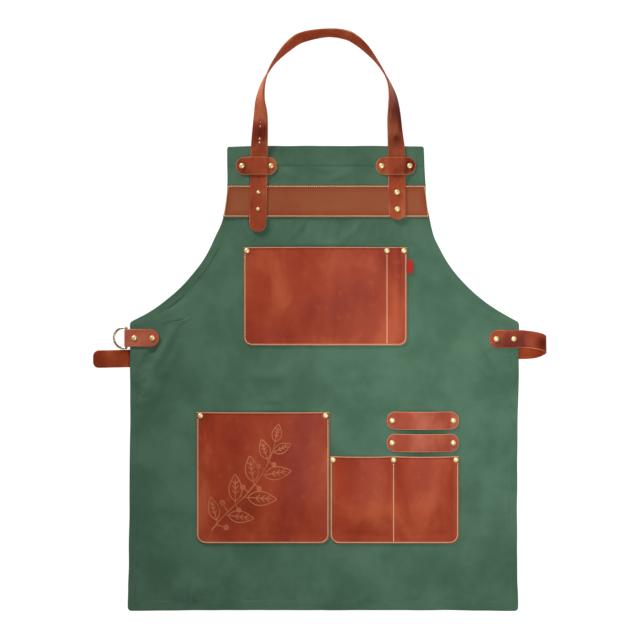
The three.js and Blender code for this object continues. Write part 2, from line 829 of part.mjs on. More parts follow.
function bandSolid() {
  const shape = new THREE.Shape();
  shape.moveTo(-halfWidth(bandBottom), bandBottom);
  shape.lineTo(halfWidth(bandBottom), bandBottom);
  shape.lineTo(halfWidth(bandTop), bandTop);
  shape.lineTo(-halfWidth(bandTop), bandTop);
  const solid = new THREE.ExtrudeGeometry(shape, { depth: bandLeather, bevelEnabled: false });
  solid.translate(0, 0, bibFace + gap);
  return drill(weld(solid), holesFor('neck_'));
}
add('chest_band', bandSolid(), 'band');

// Two pairs of small holes in the left leg above the bib's edge and one hole below the keeper
function punchedHoles() {
  const rises = [-lowHoleDrop];
  for (const pair of [0, 1]) {
    rises.push(holeStep + pair * holePairStep, 2 * holeStep + pair * holePairStep);
  }
  return rises.map((rise) => {
    const y = apronLength + rise;
    return { x: legX(legs.left, Math.min(y, apronLength)), y, radius: strapHole };
  });
}

const neckHoles = [...holesFor('neck_'), ...punchedHoles()];
add('neck_strap', drill(strapSolid(neckStations(), neckLeather), neckHoles), 'strap');
add('waist_strap', drill(strapSolid(waistStations(), waistLeather), holesFor('waist_')), 'strap');

for (const { name, middle, start, end } of keepers) {
  const seat = bibFace + gap;
  const high = neckSeat + neckLeather + gap;
  const side = neckStrap / 2 + gap;
  const footLeft = Math.min(start + keeperRivetInset + rivetCap + gap, -side - keeperFoot);
  const footRight = Math.max(end - keeperRivetInset - rivetCap - gap, side + keeperFoot);
  const between = [
    { x: middle + footLeft, under: seat },
    { x: middle - side, under: high },
    { x: middle, under: high + keeperCrown },
    { x: middle + side, under: high },
    { x: middle + footRight, under: seat },
  ];
  const stations = roundEndedStations(middle + start, middle + end, keeperWidth, seat, between);
  const solid = stripSolid(stations, keeperLine, keeperWidth, pocketLeather);
  add(name, drill(solid, holesFor(`${name}_`)), 'strap');
}

const chestPocket = pocketSolid({
  left: chestLeft,
  right: chestRight,
  bottom: chestTop - chestHeight,
  top: chestTop,
  face: chestFace,
  corner: chestCorner,
  compartments: [
    { start: chestLeft, end: chestDivider, belly: chestBelly },
    { start: chestDivider, end: chestRight, belly: slotBelly },
  ],
});
add('chest_pocket', drill(chestPocket, holesFor('chest_')), 'pocket');

const leftPocket = pocketSolid({
  left: leftPocketLeft,
  right: leftPocketRight,
  bottom: lowerPocketBase,
  top: leftPocketTop,
  face: lowerFace,
  corner: lowerCorner,
  compartments: [{ start: leftPocketLeft, end: leftPocketRight, belly: leftPocketBelly }],
});
add('lower_left_pocket', drill(leftPocket, holesFor('left_pocket_')), 'pocket');

const rightPocket = pocketSolid({
  left: rightPocketLeft,
  right: rightPocketEnd,
  bottom: lowerPocketBase,
  top: rightPocketTop,
  face: lowerFace,
  corner: lowerCorner,
  compartments: [
    { start: rightPocketLeft, end: rightDivider, belly: rightPocketBelly },
    { start: rightDivider, end: rightPocketEnd, belly: rightPocketBelly },
  ],
});
add('lower_right_pocket', drill(rightPocket, holesFor('right_pocket_')), 'pocket');

for (const { name, line } of loops) {
  const seat = lowerFace + gap;
  const start = rightPocketEnd - loopLength;
  const flat = loopRivetInset + rivetCap + gap;
  const between = [];
  const cells = 8;
  for (let k = 0; k <= cells; k += 1) {
    const x = THREE.MathUtils.lerp(start + flat, rightPocketEnd - flat, k / cells);
    between.push({ x, under: seat + loopArch * Math.sin(Math.PI * k / cells) });
  }
  const ends = roundEndedStations(start, rightPocketEnd, loopWidth, seat, between);
  ends.sort((a, b) => a.x - b.x);
  add(name, drill(stripSolid(ends, line, loopWidth, pocketLeather), holesFor(`${name}_`)), 'pocket');
}

add('ring_tab', drill(strapSolid(tabStations(), tabLeather), holesFor('ring_tab_')), 'pocket');

const ring = add('d_ring', wireSolid(ringLine(), ringWire / 2, 8), 'ring');
const bowReach = ringLeg + (ringInside + ringWire) / 2;
ring.position.set(foldX, tabLine, barHeight);
ring.rotation.y = -Math.asin((barHeight - ringWire / 2 - floorGap) / bowReach);

const label = new THREE.BoxGeometry(labelReach, labelHeight, canvas);
const labelMesh = add('pocket_label', label, 'label');
const labelY = chestTop - labelDrop - labelHeight / 2;
labelMesh.position.set(chestRight + gap + labelReach / 2, labelY, chestFace + gap + canvas / 2);

for (const { name, x, y, under, top, cap } of rivets) {
  add(name, rivetSolid(under, top, cap), 'brass').position.set(x, y, 0);
}

// The origin is the middle of the whole outline, on the floor
const part = new THREE.Group();
part.add(apron);
apron.updateMatrixWorld(true);
const box = new THREE.Box3().setFromObject(apron, true);
const middle = box.getCenter(new THREE.Vector3());
apron.position.set(-middle.x, -middle.y, -box.min.z);

export default part;
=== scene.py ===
import math
import random
import bpy
import bmesh
from mathutils import Matrix, Vector, geometry, noise


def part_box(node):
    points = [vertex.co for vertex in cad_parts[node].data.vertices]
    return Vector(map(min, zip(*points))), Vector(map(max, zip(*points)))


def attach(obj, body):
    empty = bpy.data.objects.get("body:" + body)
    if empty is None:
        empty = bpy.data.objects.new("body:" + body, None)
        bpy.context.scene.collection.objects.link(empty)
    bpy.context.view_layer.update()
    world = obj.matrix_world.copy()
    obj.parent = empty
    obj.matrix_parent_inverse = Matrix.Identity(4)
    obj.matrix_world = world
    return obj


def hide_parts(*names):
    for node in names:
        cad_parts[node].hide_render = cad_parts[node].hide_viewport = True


# A canvas and leather work apron, lying face up on the floor with its bib towards +Y.
# Lengths are in metres; MM turns the maker's millimetres into them.
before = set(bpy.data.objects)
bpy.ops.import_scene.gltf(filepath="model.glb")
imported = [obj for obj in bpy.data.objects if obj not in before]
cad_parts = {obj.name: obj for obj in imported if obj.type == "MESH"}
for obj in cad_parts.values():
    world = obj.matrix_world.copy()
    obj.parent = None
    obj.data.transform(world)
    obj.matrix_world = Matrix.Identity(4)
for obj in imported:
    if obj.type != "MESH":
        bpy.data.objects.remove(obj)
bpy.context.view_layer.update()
MM = 0.001
random.seed(4)

# Where the apron's own middle line and bottom edge lie in the frame
canvas_low, canvas_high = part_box("canvas_body")
MIDDLE = (canvas_low.x + canvas_high.x) / 2
BOTTOM = canvas_low.y

# Canvas
APRON_LENGTH = 788 * MM
APRON_WIDTH = 660 * MM
BIB_WIDTH = 334 * MM
BIB_FLARE = 1.5 * MM
BIB_SIDE = 65 * MM
ARMHOLE_DEPTH = 233 * MM
CANVAS = 1 * MM
SIDE_HEM = 12 * MM
BOTTOM_HEM = 14 * MM
TOP_HEM = 33 * MM
BOTTOM_CORNER = 6 * MM
HIP_ROUND = 2.2 * MM
TOP_CORNER = 3.5 * MM
EDGE_FALL = 30 * MM
EDGE_RISE = 36 * MM
TAB_SHELF = 54 * MM
BIB_RISE = 8 * MM

# Heights of the canvas face above the floor, as in the solids
HEM_FACE = 2 * MM
LOWER_FACE = 2.6 * MM
BIB_FACE = 3.6 * MM
CHEST_FACE = 4.4 * MM
TAB_FACE = 6.1 * MM
GAP = 0.3 * MM

# Leather
POCKET_LEATHER = 2.2 * MM
BAND_LEATHER = 2.2 * MM
TAB_LEATHER = 2.2 * MM
NECK_LEATHER = 2.8 * MM
WAIST_LEATHER = 3 * MM
SEAM_FLAT = 10 * MM
EDGE_ROUND = 0.9 * MM
OPENING_RIM = 0.9 * MM

# Places along the length
BIB_END = APRON_LENGTH - BIB_SIDE
HIP_LINE = BIB_END - ARMHOLE_DEPTH
BAND_TOP = APRON_LENGTH - 66 * MM
BAND_BOTTOM = BAND_TOP - 54 * MM
CHEST_TOP = APRON_LENGTH - 171 * MM
CHEST_HEIGHT = 167 * MM
LOWER_BASE = 114 * MM
LEFT_POCKET_TOP = LOWER_BASE + 223 * MM
RIGHT_POCKET_TOP = LOWER_BASE + 148 * MM
LOOP_WIDTH = 30.5 * MM
LOWER_LOOP_LINE = RIGHT_POCKET_TOP + 7.7 * MM + LOOP_WIDTH / 2
UPPER_LOOP_LINE = LOWER_LOOP_LINE + 37.8 * MM
TAB_LINE = HIP_LINE - 27 * MM
TAB_WIDTH = 30 * MM
FRONT_LINE = HIP_LINE - 28.5 * MM
WAIST_STRAP = 30 * MM
WAIST_LINE = HIP_LINE - 55 * MM
WAIST_TILT = 13.6 * MM
WAIST_LOW = WAIST_LINE - (WAIST_STRAP + WAIST_TILT) / 2

# The canvas's sides are raised over the tab and the strap between these heights
SHELF_LOW = WAIST_LOW - 6 * MM
SHELF_HIGH = TAB_LINE + TAB_WIDTH / 2 + 4 * MM

# Places across
CHEST_LEFT = -137 * MM
CHEST_RIGHT = 140 * MM
CHEST_DIVIDER = CHEST_RIGHT - 34 * MM
CHEST_CORNER = 14 * MM
LEFT_POCKET_LEFT = -217 * MM
LEFT_POCKET_RIGHT = 8 * MM
RIGHT_POCKET_LEFT = LEFT_POCKET_RIGHT + 1.5 * MM
RIGHT_POCKET_RIGHT = RIGHT_POCKET_LEFT + 218.5 * MM
RIGHT_DIVIDER = (RIGHT_POCKET_LEFT + RIGHT_POCKET_RIGHT) / 2 - 1.5 * MM
LOWER_CORNER = 15.5 * MM
LOOP_LEFT = RIGHT_POCKET_RIGHT - 122.5 * MM

# Stitches
STITCH_PITCH = 3.8 * MM
STITCH_INSET = 2.2 * MM
SEAM_DROP = 11 * MM
LEATHER_STITCH = (2.5 * MM, 1.8 * MM, 1.1 * MM)
HEM_STITCH = (2.6 * MM, 0.7 * MM, 0.5 * MM)


def place(x, y, z):
    """A point given from the apron's middle line, bottom edge and floor, in the frame."""
    return Vector((MIDDLE + x, BOTTOM + y, z))


def mix(a, b, share):
    return a + (b - a) * share


def smooth(low, high, value):
    share = min(max((value - low) / (high - low), 0), 1)
    return share * share * (3 - 2 * share)


def ramp(value, table):
    """A height read off rows of (place, height), eased between the rows."""
    if value <= table[0][0]:
        return table[0][1]
    for (low, start), (high, end) in zip(table, table[1:]):
        if value <= high:
            return mix(start, end, smooth(low, high, value))
    return table[-1][1]


def ripple(x, y, across, up, layer):
    """An even, random rise and fall, given how many waves go in a metre each way."""
    return noise.noise(Vector((x * across, y * up, layer)))


def beside(rows, i):
    """The rows after and before one of them, or that one itself at an end."""
    return rows[min(i + 1, len(rows) - 1)], rows[max(i - 1, 0)]


# How far the bib lies to the right, by height
SWAY = [
    (BAND_BOTTOM - 40 * MM, 0), (BAND_BOTTOM, 2.9 * MM), (BAND_TOP, 3.2 * MM), (APRON_LENGTH, 1.4 * MM),
]


def srgb(red, green, blue):
    """A colour from its 0 to 255 screen values."""
    shares = [value / 255 for value in (red, green, blue)]
    return [share / 12.92 if share <= 0.04045 else ((share + 0.055) / 1.055) ** 2.4 for share in shares] + [1]


# Outline of the canvas

SHOULDER = BIB_WIDTH / 2 + BIB_FLARE
HIP_SWELL = APRON_WIDTH / 2 - SHOULDER
armhole_points = geometry.interpolate_bezier(
    Vector((SHOULDER, BIB_END)),
    Vector((SHOULDER, BIB_END - 0.26 * ARMHOLE_DEPTH)),
    Vector((SHOULDER + 0.165 * HIP_SWELL, HIP_LINE + 0.282 * ARMHOLE_DEPTH)),
    Vector((APRON_WIDTH / 2, HIP_LINE)),
    120,
)
ARMHOLE = sorted((point.y, point.x) for point in armhole_points)


def sharp_half_width(y):
    if y >= BIB_END:
        corner = min(max(y - APRON_LENGTH + TOP_CORNER, 0), TOP_CORNER)
        cut = TOP_CORNER - math.sqrt(TOP_CORNER ** 2 - corner ** 2)
        return mix(SHOULDER, BIB_WIDTH / 2, (y - BIB_END) / BIB_SIDE) - cut
    if y > HIP_LINE:
        for (low, wide), (high, narrow) in zip(ARMHOLE, ARMHOLE[1:]):
            if y <= high:
                return mix(wide, narrow, (y - low) / (high - low))
    corner = min(max(BOTTOM_CORNER - y, 0), BOTTOM_CORNER)
    return APRON_WIDTH / 2 - BOTTOM_CORNER + math.sqrt(BOTTOM_CORNER ** 2 - corner ** 2)


def half_width(y):
    """Half the canvas's width at a height, with the corner at the hip rounded off."""
    if abs(y - HIP_LINE) < 2 * HIP_ROUND:
        beside = [sharp_half_width(y + k * HIP_ROUND / 2) for k in (-2, -1, 0, 1, 2)]
        return sum(beside) / len(beside)
    return sharp_half_width(y)


def sway(y):
    """The bib lies a little to the right of the apron's middle line."""
    return ramp(y, SWAY)


def edge_wander(x, y):
    """How far the sewn edge strays from its pattern, in and out."""
    return 0.7 * MM * ripple(x, y, 22, 22, 3.1)


# How far the two sides lie from the pattern towards +X, by height, with the skirt a little askew
LEFT_DRIFT = [
    (9 * MM, -4.6 * MM), (34 * MM, -3.6 * MM), (85 * MM, -2.7 * MM), (221 * MM, -1.2 * MM), (360 * MM, 0),
]
RIGHT_DRIFT = [
    (9 * MM, -1 * MM), (60 * MM, -2.4 * MM), (153 * MM, -3 * MM), (289 * MM, -1.9 * MM), (420 * MM, 0),
]


def laid(x, y):
    """Where a point of the canvas's pattern lies, with its sides and hems a little off the straight."""
    side = smooth(210 * MM, 325 * MM, abs(x))
    drift = ramp(y, LEFT_DRIFT if x < 0 else RIGHT_DRIFT) * side
    hem = (1.2 * side - 0.3) * MM * smooth(30 * MM, 0, y)
    crown = 1.2 * MM * smooth(BIB_WIDTH / 2, BIB_WIDTH / 3, abs(x)) * smooth(BIB_END, APRON_LENGTH, y)
    return x + drift + sway(y), y - hem + crown


def hem_stretch(y):
    """How much longer than the hem's own width its run along X is, on the slanted armhole."""
    step = 1 * MM
    slope = (half_width(y - step) - half_width(y + step)) / (2 * step)
    return math.hypot(1, slope)


def hem_inset(x, y):
    """Distance from a point to the canvas's edge."""
    side = (half_width(y) - abs(x)) / hem_stretch(y)
    return min(side, y, APRON_LENGTH - y)


# Canvas surface

CHEST_RISE_END = CHEST_TOP + BIB_RISE
BIB_RISE_END = BAND_BOTTOM - BIB_RISE
MIDDLE_FACE = [
    (0, HEM_FACE), (BOTTOM_HEM, HEM_FACE), (BOTTOM_HEM + EDGE_FALL, LOWER_FACE),
    (UPPER_LOOP_LINE + LOOP_WIDTH / 2 + SEAM_FLAT, LOWER_FACE), (SHELF_LOW, CHEST_FACE),
    (CHEST_RISE_END, CHEST_FACE), (BIB_RISE_END, BIB_FACE),
]
EDGE_FACE = [
    (SHELF_LOW - EDGE_RISE, HEM_FACE), (SHELF_LOW, TAB_FACE), (SHELF_HIGH, TAB_FACE),
    (SHELF_HIGH + EDGE_RISE, HEM_FACE), (CHEST_RISE_END, HEM_FACE), (BIB_RISE_END, BIB_FACE),
]
EDGE_SHELF = [
    (SHELF_LOW - EDGE_RISE, 0), (SHELF_LOW, TAB_SHELF), (SHELF_HIGH, TAB_SHELF), (SHELF_HIGH + EDGE_RISE, 0),
]

# Soft folds, in millimetres from the middle line and the bottom edge: middle, turn from the
# X axis in degrees, half length, half width and height
FOLDS = [
    (-290, 382, 72, 62, 24, 4.5), (248, 433, -40, 62, 22, 3.6), (-231, 32, 90, 38, 38, 4.5),
    (7, 28, 90, 34, 36, 3), (-92, 398, 4, 62, 18, 2.3), (264, 95, 70, 70, 34, 2.6),
    (-268, 452, 63, 76, 11, 4.6), (-290, 448, 63, 72, 12, -3.4), (-255, 430, 70, 46, 12, 1.4),
    (-311, 371, 50, 12, 5, -2), (-300, 380, 60, 26, 9, 1.5), (290, 497, -40, 36, 6, 2.8),
    (304, 492, -36, 24, 5, 2.3), (270, 506, -44, 46, 9, 2.4), (238, 520, -50, 44, 11, 2.2),
    (262, 434, -56, 64, 13, 2.8), (281, 436, -56, 62, 12, -2.4), (-231, 30, 90, 24, 4, -3.2),
    (-222, 22, 118, 20, 6, 1.6), (-124, 20, 128, 14, 5, 1.4), (-108, 24, 124, 16, 6, -1),
    (-6, 26, 84, 18, 5, -2), (27, 25, 96, 17, 4, -1.6), (66, 22, 70, 15, 5, 1.3),
    (150, 24, 112, 18, 7, 1.4), (-100, 356, 3, 40, 5, 0.9), (-90, 349, -4, 46, 6, -0.8),
    (-60, 646, 88, 22, 9, 1.6), (-34, 648, 80, 20, 6, -1.4), (-4, 645, 96, 20, 8, 1.3),
    (26, 646, 84, 22, 6, -1.5), (52, 645, 76, 20, 8, 1.6), (84, 646, 98, 22, 7, -1.3),
    (112, 648, 84, 20, 8, 1.3), (-92, 644, 70, 22, 8, -1.3), (-118, 640, 64, 22, 8, 1.5),
    (140, 640, 104, 24, 9, 1.6), (-52, 640, 52, 30, 9, 1.9), (8, 634, 118, 34, 9, -1.8),
    (40, 636, 50, 30, 8, 1.7), (96, 632, 132, 30, 9, 1.6), (-62, 741, 152, 34, 8, 2),
    (22, 737, 22, 38, 7, 1.8), (70, 743, 160, 30, 7, -1.6), (-12, 742, 166, 30, 7, -1.5),
    (-150, 700, 100, 50, 9, 1.4), (158, 742, 118, 30, 8, 1.8), (-300, 420, 2, 12, 3, -1.2),
    (-303, 405, 4, 12, 3, -1.3), (-301, 386, -3, 13, 3, -1.2), (-302, 364, 2, 12, 3, -1.3),
    (-299, 345, 4, 10, 3, -0.9), (-150, 590, 108, 50, 14, 1.6), (168, 560, 74, 60, 16, 1.6),
    (-190, 520, 118, 46, 14, 1.8), (-250, 250, 86, 80, 16, 1.2), (276, 300, 92, 90, 18, 1.3),
    (270, 200, 84, 60, 14, -0.9), (60, 395, 8, 90, 12, 0.9), (150, 415, -12, 70, 12, 1.1),
    (-40, 60, 60, 50, 20, 1.2), (110, 70, 120, 50, 20, 1.1), (-160, 70, 60, 44, 16, 1.2),
    (200, 62, 66, 44, 16, 1.1), (0, 750, 4, 70, 12, 0.6), (-60, 762, 172, 40, 8, 0.6),
    (60, 764, 8, 46, 9, 0.6),
]


def fold_rise(x, y):
    rise = 0
    for across, up, turn, long, wide, high in FOLDS:
        dx = x - across * MM
        dy = y - up * MM
        reach = max(long, wide) * MM
        if abs(dx) > reach or abs(dy) > reach:
            continue
        turned = math.radians(turn)
        along = (dx * math.cos(turned) + dy * math.sin(turned)) / (long * MM)
        aside = (dy * math.cos(turned) - dx * math.sin(turned)) / (wide * MM)
        inside = max(1 - along ** 2 - aside ** 2, 0)
        rise += high * MM * inside ** 2
    return rise


def pocket_row(edges, low, high, corner, face, bellies):
    """A pocket's facts: its box with a sharp top, and how far it bellies out between its seams."""
    return {"box": (edges[0], edges[-1], low, high, True), "corner": corner, "face": face, "edges": edges,
            "bellies": bellies}


POCKETS = {
    "chest_pocket": pocket_row([CHEST_LEFT, CHEST_DIVIDER, CHEST_RIGHT], CHEST_TOP - CHEST_HEIGHT, CHEST_TOP,
                               CHEST_CORNER, CHEST_FACE, [7, 2.6]),
    "lower_left_pocket": pocket_row([LEFT_POCKET_LEFT, LEFT_POCKET_RIGHT], LOWER_BASE, LEFT_POCKET_TOP,
                                    LOWER_CORNER, LOWER_FACE, [9]),
    "lower_right_pocket": pocket_row([RIGHT_POCKET_LEFT, RIGHT_DIVIDER, RIGHT_POCKET_RIGHT], LOWER_BASE,
                                     RIGHT_POCKET_TOP, LOWER_CORNER, LOWER_FACE, [8, 8]),
}

# Flat seats under the leather, as (left, right, low, high, how far round them the cloth is held)
SEATS = [(*pocket["box"][:4], 16 * MM) for pocket in POCKETS.values()] + [
    (LOOP_LEFT, RIGHT_POCKET_RIGHT, RIGHT_POCKET_TOP, UPPER_LOOP_LINE + LOOP_WIDTH / 2, 14 * MM),
    (-180 * MM, 180 * MM, BAND_BOTTOM, BAND_TOP, 8 * MM),
    (-152 * MM, -78 * MM, APRON_LENGTH - 50 * MM, APRON_LENGTH, 8 * MM),
    (84 * MM, 158 * MM, APRON_LENGTH - 50 * MM, APRON_LENGTH, 8 * MM),
    (-132 * MM, -96 * MM, BAND_BOTTOM - 30 * MM, APRON_LENGTH, 8 * MM),
    (104 * MM, 142 * MM, BAND_BOTTOM - 10 * MM, APRON_LENGTH, 8 * MM),
    (-340 * MM, -280 * MM, TAB_LINE - 16 * MM, TAB_LINE + 16 * MM, 5 * MM),
    (278 * MM, 340 * MM, FRONT_LINE - 16 * MM, FRONT_LINE + 16 * MM, 6 * MM),
]


def freedom(x, y):
    """0 under the leather, where the cloth is held down, rising to 1 away from it."""
    near = 1
    for left, right, low, high, reach in SEATS:
        aside = max(left - x, x - right, 0)
        upward = max(low - y, y - high, 0)
        if aside < reach and upward < reach:
            near = min(near, smooth(0.5 * MM, reach, math.hypot(aside, upward)))
    return near


def hem_pucker(x, y, inset):
    """Small gathers that the hem's thread pulls up, strongest at the seam."""
    seam = SIDE_HEM if inset < y - 1 * MM else BOTTOM_HEM
    if APRON_LENGTH - y < inset + 1 * MM:
        seam = TOP_HEM
    strength = math.exp(-((inset - seam) / (7 * MM)) ** 2)
    run = y if seam == SIDE_HEM else x
    small = ripple(run, inset, 95, 30, seam * 900)
    broad = ripple(run, inset, 34, 18, 7 + seam * 900)
    groove = 0.3 * MM * math.exp(-((inset - seam) / (0.9 * MM)) ** 2)
    return (1.1 * MM * small + 1.3 * MM * broad) * strength - groove


def seam_away(x, y):
    """Distance from a point to the nearest hem's seam."""
    side = (half_width(y) - abs(x)) / hem_stretch(y)
    away = min(abs(side - SIDE_HEM) + 0.8 * MM, abs(y - BOTTOM_HEM) + 0.6 * MM)
    return min(away, abs(APRON_LENGTH - y - TOP_HEM))


def canvas_layers(inset, y):
    hem = 1 - smooth(SIDE_HEM, SIDE_HEM + 1.2 * MM, inset)
    if y < BOTTOM_HEM + 2 * MM:
        hem = max(hem, 1 - smooth(BOTTOM_HEM, BOTTOM_HEM + 1.2 * MM, y))
    if y > APRON_LENGTH - TOP_HEM - 2 * MM:
        hem = max(hem, 1 - smooth(TOP_HEM, TOP_HEM + 1.2 * MM, APRON_LENGTH - y))
    return (1 + hem) * CANVAS


def canvas_top(x, y):
    """Height of the canvas's face above the floor."""
    inset = hem_inset(x, y)
    shelf = max(ramp(y, EDGE_SHELF), SIDE_HEM + 3 * MM)
    share = smooth(shelf, shelf + EDGE_FALL, half_width(y) - abs(x))
    face = mix(ramp(y, EDGE_FACE), ramp(y, MIDDLE_FACE), share)
    free = freedom(x, y)
    waves = ripple(x, y, 9, 7, 1.7) + 0.7 * ripple(x, y, 24, 18, 5.2)
    crumple = noise.ridged_multi_fractal(Vector((x * 14, y * 14, 9.4)), 1, 2.1, 3, 0.9, 2)
    loose = fold_rise(x, y) + 1.15 * MM * waves + 0.42 * MM * (crumple - 1)
    gathers = hem_pucker(x, y, inset) * (0.35 + 0.65 * free)
    top = face + free * loose + gathers
    return max(top, canvas_layers(inset, y) + 0.05 * MM)


def turn_outward(mesh):
    work = bmesh.new()
    work.from_mesh(mesh)
    bmesh.ops.recalc_face_normals(work, faces=work.faces)
    work.to_mesh(mesh)
    work.free()


def add_piece(name, points, faces, materials, marks=None, outward=False, smooth=True):
    """A piece made of its points and faces. Marks give each face its material's number."""
    mesh = bpy.data.meshes.new(name)
    mesh.from_pydata([tuple(point) for point in points], [], faces)
    if marks:
        mesh.polygons.foreach_set("material_index", marks)
    if outward:
        turn_outward(mesh)
    if smooth:
        mesh.shade_smooth()
    for material in materials:
        mesh.materials.append(material)
    piece = bpy.data.objects.new(name, mesh)
    bpy.context.scene.collection.objects.link(piece)
    return piece


def shell(name, top_rows, under_rows, slots):
    """A closed sheet between two grids of points that share their border's places.
    Faces take material 0 on top, 1 underneath and 2 round the edge."""
    wide, high = len(top_rows[0]), len(top_rows)
    count = wide * high
    points = [point for rows in (top_rows, under_rows) for row in rows for point in row]
    faces, marks = [], []
    for i in range(high - 1):
        for a in range(i * wide, i * wide + wide - 1):
            faces.append((a, a + 1, a + wide + 1, a + wide))
            faces.append((count + a, count + a + wide, count + a + wide + 1, count + a + 1))
            marks += [0, 1]
    border = [(j, j + 1) for j in range(wide - 1)]
    border += [(i * wide + wide - 1, (i + 1) * wide + wide - 1) for i in range(high - 1)]
    border += [(count - 1 - j, count - 2 - j) for j in range(wide - 1)]
    border += [((i + 1) * wide, i * wide) for i in reversed(range(high - 1))]
    faces += [(b, a, count + a, count + b) for a, b in border]
    marks += [2] * len(border)
    return add_piece(name, points, faces, slots, marks)


def keep_value(piece, name, values):
    """Stores a number for each point, such as its distance from the edge, for the materials."""
    attribute = piece.data.attributes.new(name, "FLOAT", "POINT")
    attribute.data.foreach_set("value", values)


def graded(start, end, fine, coarse, seams=()):
    """Places from start to end, close together at both ends as the list of insets says, and at seams."""
    length = end - start
    inner = [inset for inset in fine if inset < length / 2 - coarse / 2]
    cells = max(round((length - 2 * inner[-1]) / coarse), 1)
    middle = [inner[-1] + (length - 2 * inner[-1]) * k / cells for k in range(1, cells)]
    for seam in seams:
        near = [seam - start + step * MM for step in (-3, -1.8, -1.1, -0.5, 0, 0.5, 1.1, 1.8, 3)]
        middle = [at for at in middle if not near[0] - 1 * MM < at < near[-1] + 1 * MM]
        middle = sorted(middle + near)
    return [start + at for at in inner + middle + [length - inset for inset in reversed(inner)]]


def rounded(depth, radius):
    """How far a rounded edge falls away at a depth in from it."""
    if depth >= radius:
        return 0
    return radius - math.sqrt(radius ** 2 - (radius - depth) ** 2)


# Insets of the grid's rows from the edge, close together at the rim and at the hem's seam
CANVAS_FINE = [mm * MM for mm in (0, 0.12, 0.4, 0.9, 1.8, 3.4, 5.4, 7.6, 9.6, 11, 11.7, 12.3, 13, 14.2, 16,
                                  18.6, 22)]
CANVAS_CELL = 4.1 * MM


def build_canvas(material):
    top_rows, under_rows, insets, seams = [], [], [], []
    columns = graded(-1, 1, [0], 0.0125)
    for y in graded(0, APRON_LENGTH, CANVAS_FINE, CANVAS_CELL, (APRON_LENGTH - TOP_HEM,)):
        half = half_width(y)
        stretch = min(hem_stretch(y), 3)
        side = [inset * stretch for inset in CANVAS_FINE]
        inner = half - side[-1]
        xs = [inset - half for inset in side] + [inner * share for share in columns[1:-1]]
        xs += [half - inset for inset in reversed(side)]
        top, under = [], []
        for x in xs:
            inset = max(hem_inset(x, y), 0)
            layers = canvas_layers(inset, y)
            high = canvas_top(x, y)
            fall = rounded(inset, layers / 2)
            out = edge_wander(x, y) * (1 - smooth(0, 40 * MM, inset))
            at_x, at_y = laid(x, y)
            at_x += out * (1 if x > 0 else -1)
            at_y += out if y > APRON_LENGTH / 2 else -out
            top.append(place(at_x, at_y, high - fall))
            under.append(place(at_x, at_y, high - layers + fall))
            insets.append(inset)
            seams.append(seam_away(x, y))
        top_rows.append(top)
        under_rows.append(under)
    canvas = shell("canvas", top_rows, under_rows, [material] * 3)
    keep_value(canvas, "inset", insets * 2)
    keep_value(canvas, "seam", seams * 2)
    finish_piece(canvas, "canvas", "canvas_body")


# Leather patches

PATCH_FINE = [mm * MM for mm in (0, 0.1, 0.3, 0.6, 0.95, 1.5, 2.1, 2.5, 2.8, 3.1, 3.6, 4.5, 6, 8, 10.5)]


def corner_fit(x, y, box, radius):
    """Moves a point of a square patch so that its corners become round, with its distance to the edge."""
    left, right, low, high, sharp_top = box
    middle_x = min(max(x, left + radius), right - radius)
    middle_y = max(y, low + radius) if sharp_top else min(max(y, low + radius), high - radius)
    a = (x - middle_x) / radius
    b = (y - middle_y) / radius
    new_x = middle_x + radius * a * math.sqrt(1 - b * b / 2)
    new_y = middle_y + radius * b * math.sqrt(1 - a * a / 2)
    if a and b:
        inset = radius * (1 - math.hypot(a * math.sqrt(1 - b * b / 2), b * math.sqrt(1 - a * a / 2)))
    else:
        inset = min(new_x - left, right - new_x, new_y - low, high - new_y)
    if sharp_top:
        inset = min(inset, high - new_y)
    return new_x, new_y, max(inset, 0)


def build_patch(name, box, radius, under_height, thick, slots, cell=3 * MM, shape=None, seams=()):
    """A leather patch with rounded corners and edges that follows a height given for its under face."""
    left, right, low, high, _ = box
    top_rows, under_rows, insets = [], [], []
    for y in graded(low, high, PATCH_FINE, cell):
        top, under = [], []
        for x in graded(left, right, PATCH_FINE, cell, seams):
            new_x, new_y, inset = corner_fit(x, y, box, radius)
            under_z = under_height(new_x, new_y)
            crease = 0.2 * MM * math.exp(-((inset - STITCH_INSET) / (0.8 * MM)) ** 2)
            fall = rounded(inset, EDGE_ROUND)
            at_x, at_y = shape(new_x, new_y) if shape else (new_x, new_y)
            top.append(place(at_x, at_y, under_z + thick - fall - crease))
            under.append(place(at_x, at_y, under_z + fall))
            insets.append(max(min(inset, high - new_y - OPENING_RIM), 0) if box[4] else inset)
        top_rows.append(top)
        under_rows.append(under)
    patch = shell(name, top_rows, under_rows, slots)
    keep_value(patch, "inset", insets * 2)
    return patch


RIVETS = [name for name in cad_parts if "_rivet_" in name]
RIVET_SPOTS = []
for rivet_name in RIVETS:
    rivet_low, rivet_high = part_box(rivet_name)
    spot = (rivet_low + rivet_high) / 2
    RIVET_SPOTS.append((spot.x - MIDDLE, spot.y - BOTTOM))


def rivet_dent(x, y):
    """The leather is pressed in a little round each rivet."""
    dent = 0
    for spot_x, spot_y in RIVET_SPOTS:
        away = math.hypot(x - spot_x, y - spot_y)
        if away < 14 * MM:
            dent -= 0.32 * MM * math.exp(-(away / (5.6 * MM)) ** 2)
    return dent


def slack(x, y, parts, low, high, corner):
    """How far a pocket's panel stands off the canvas between its seams."""
    rise = 0.35 * (high - low)
    fill = math.sin(min(max(y - low - corner, 0) / rise, 1) * math.pi / 2)
    for start, end, belly in parts:
        if start < x < end:
            share = (x - start) / (end - start)
            return belly * math.sin(math.pi * share) ** 0.7 * fill
    return 0


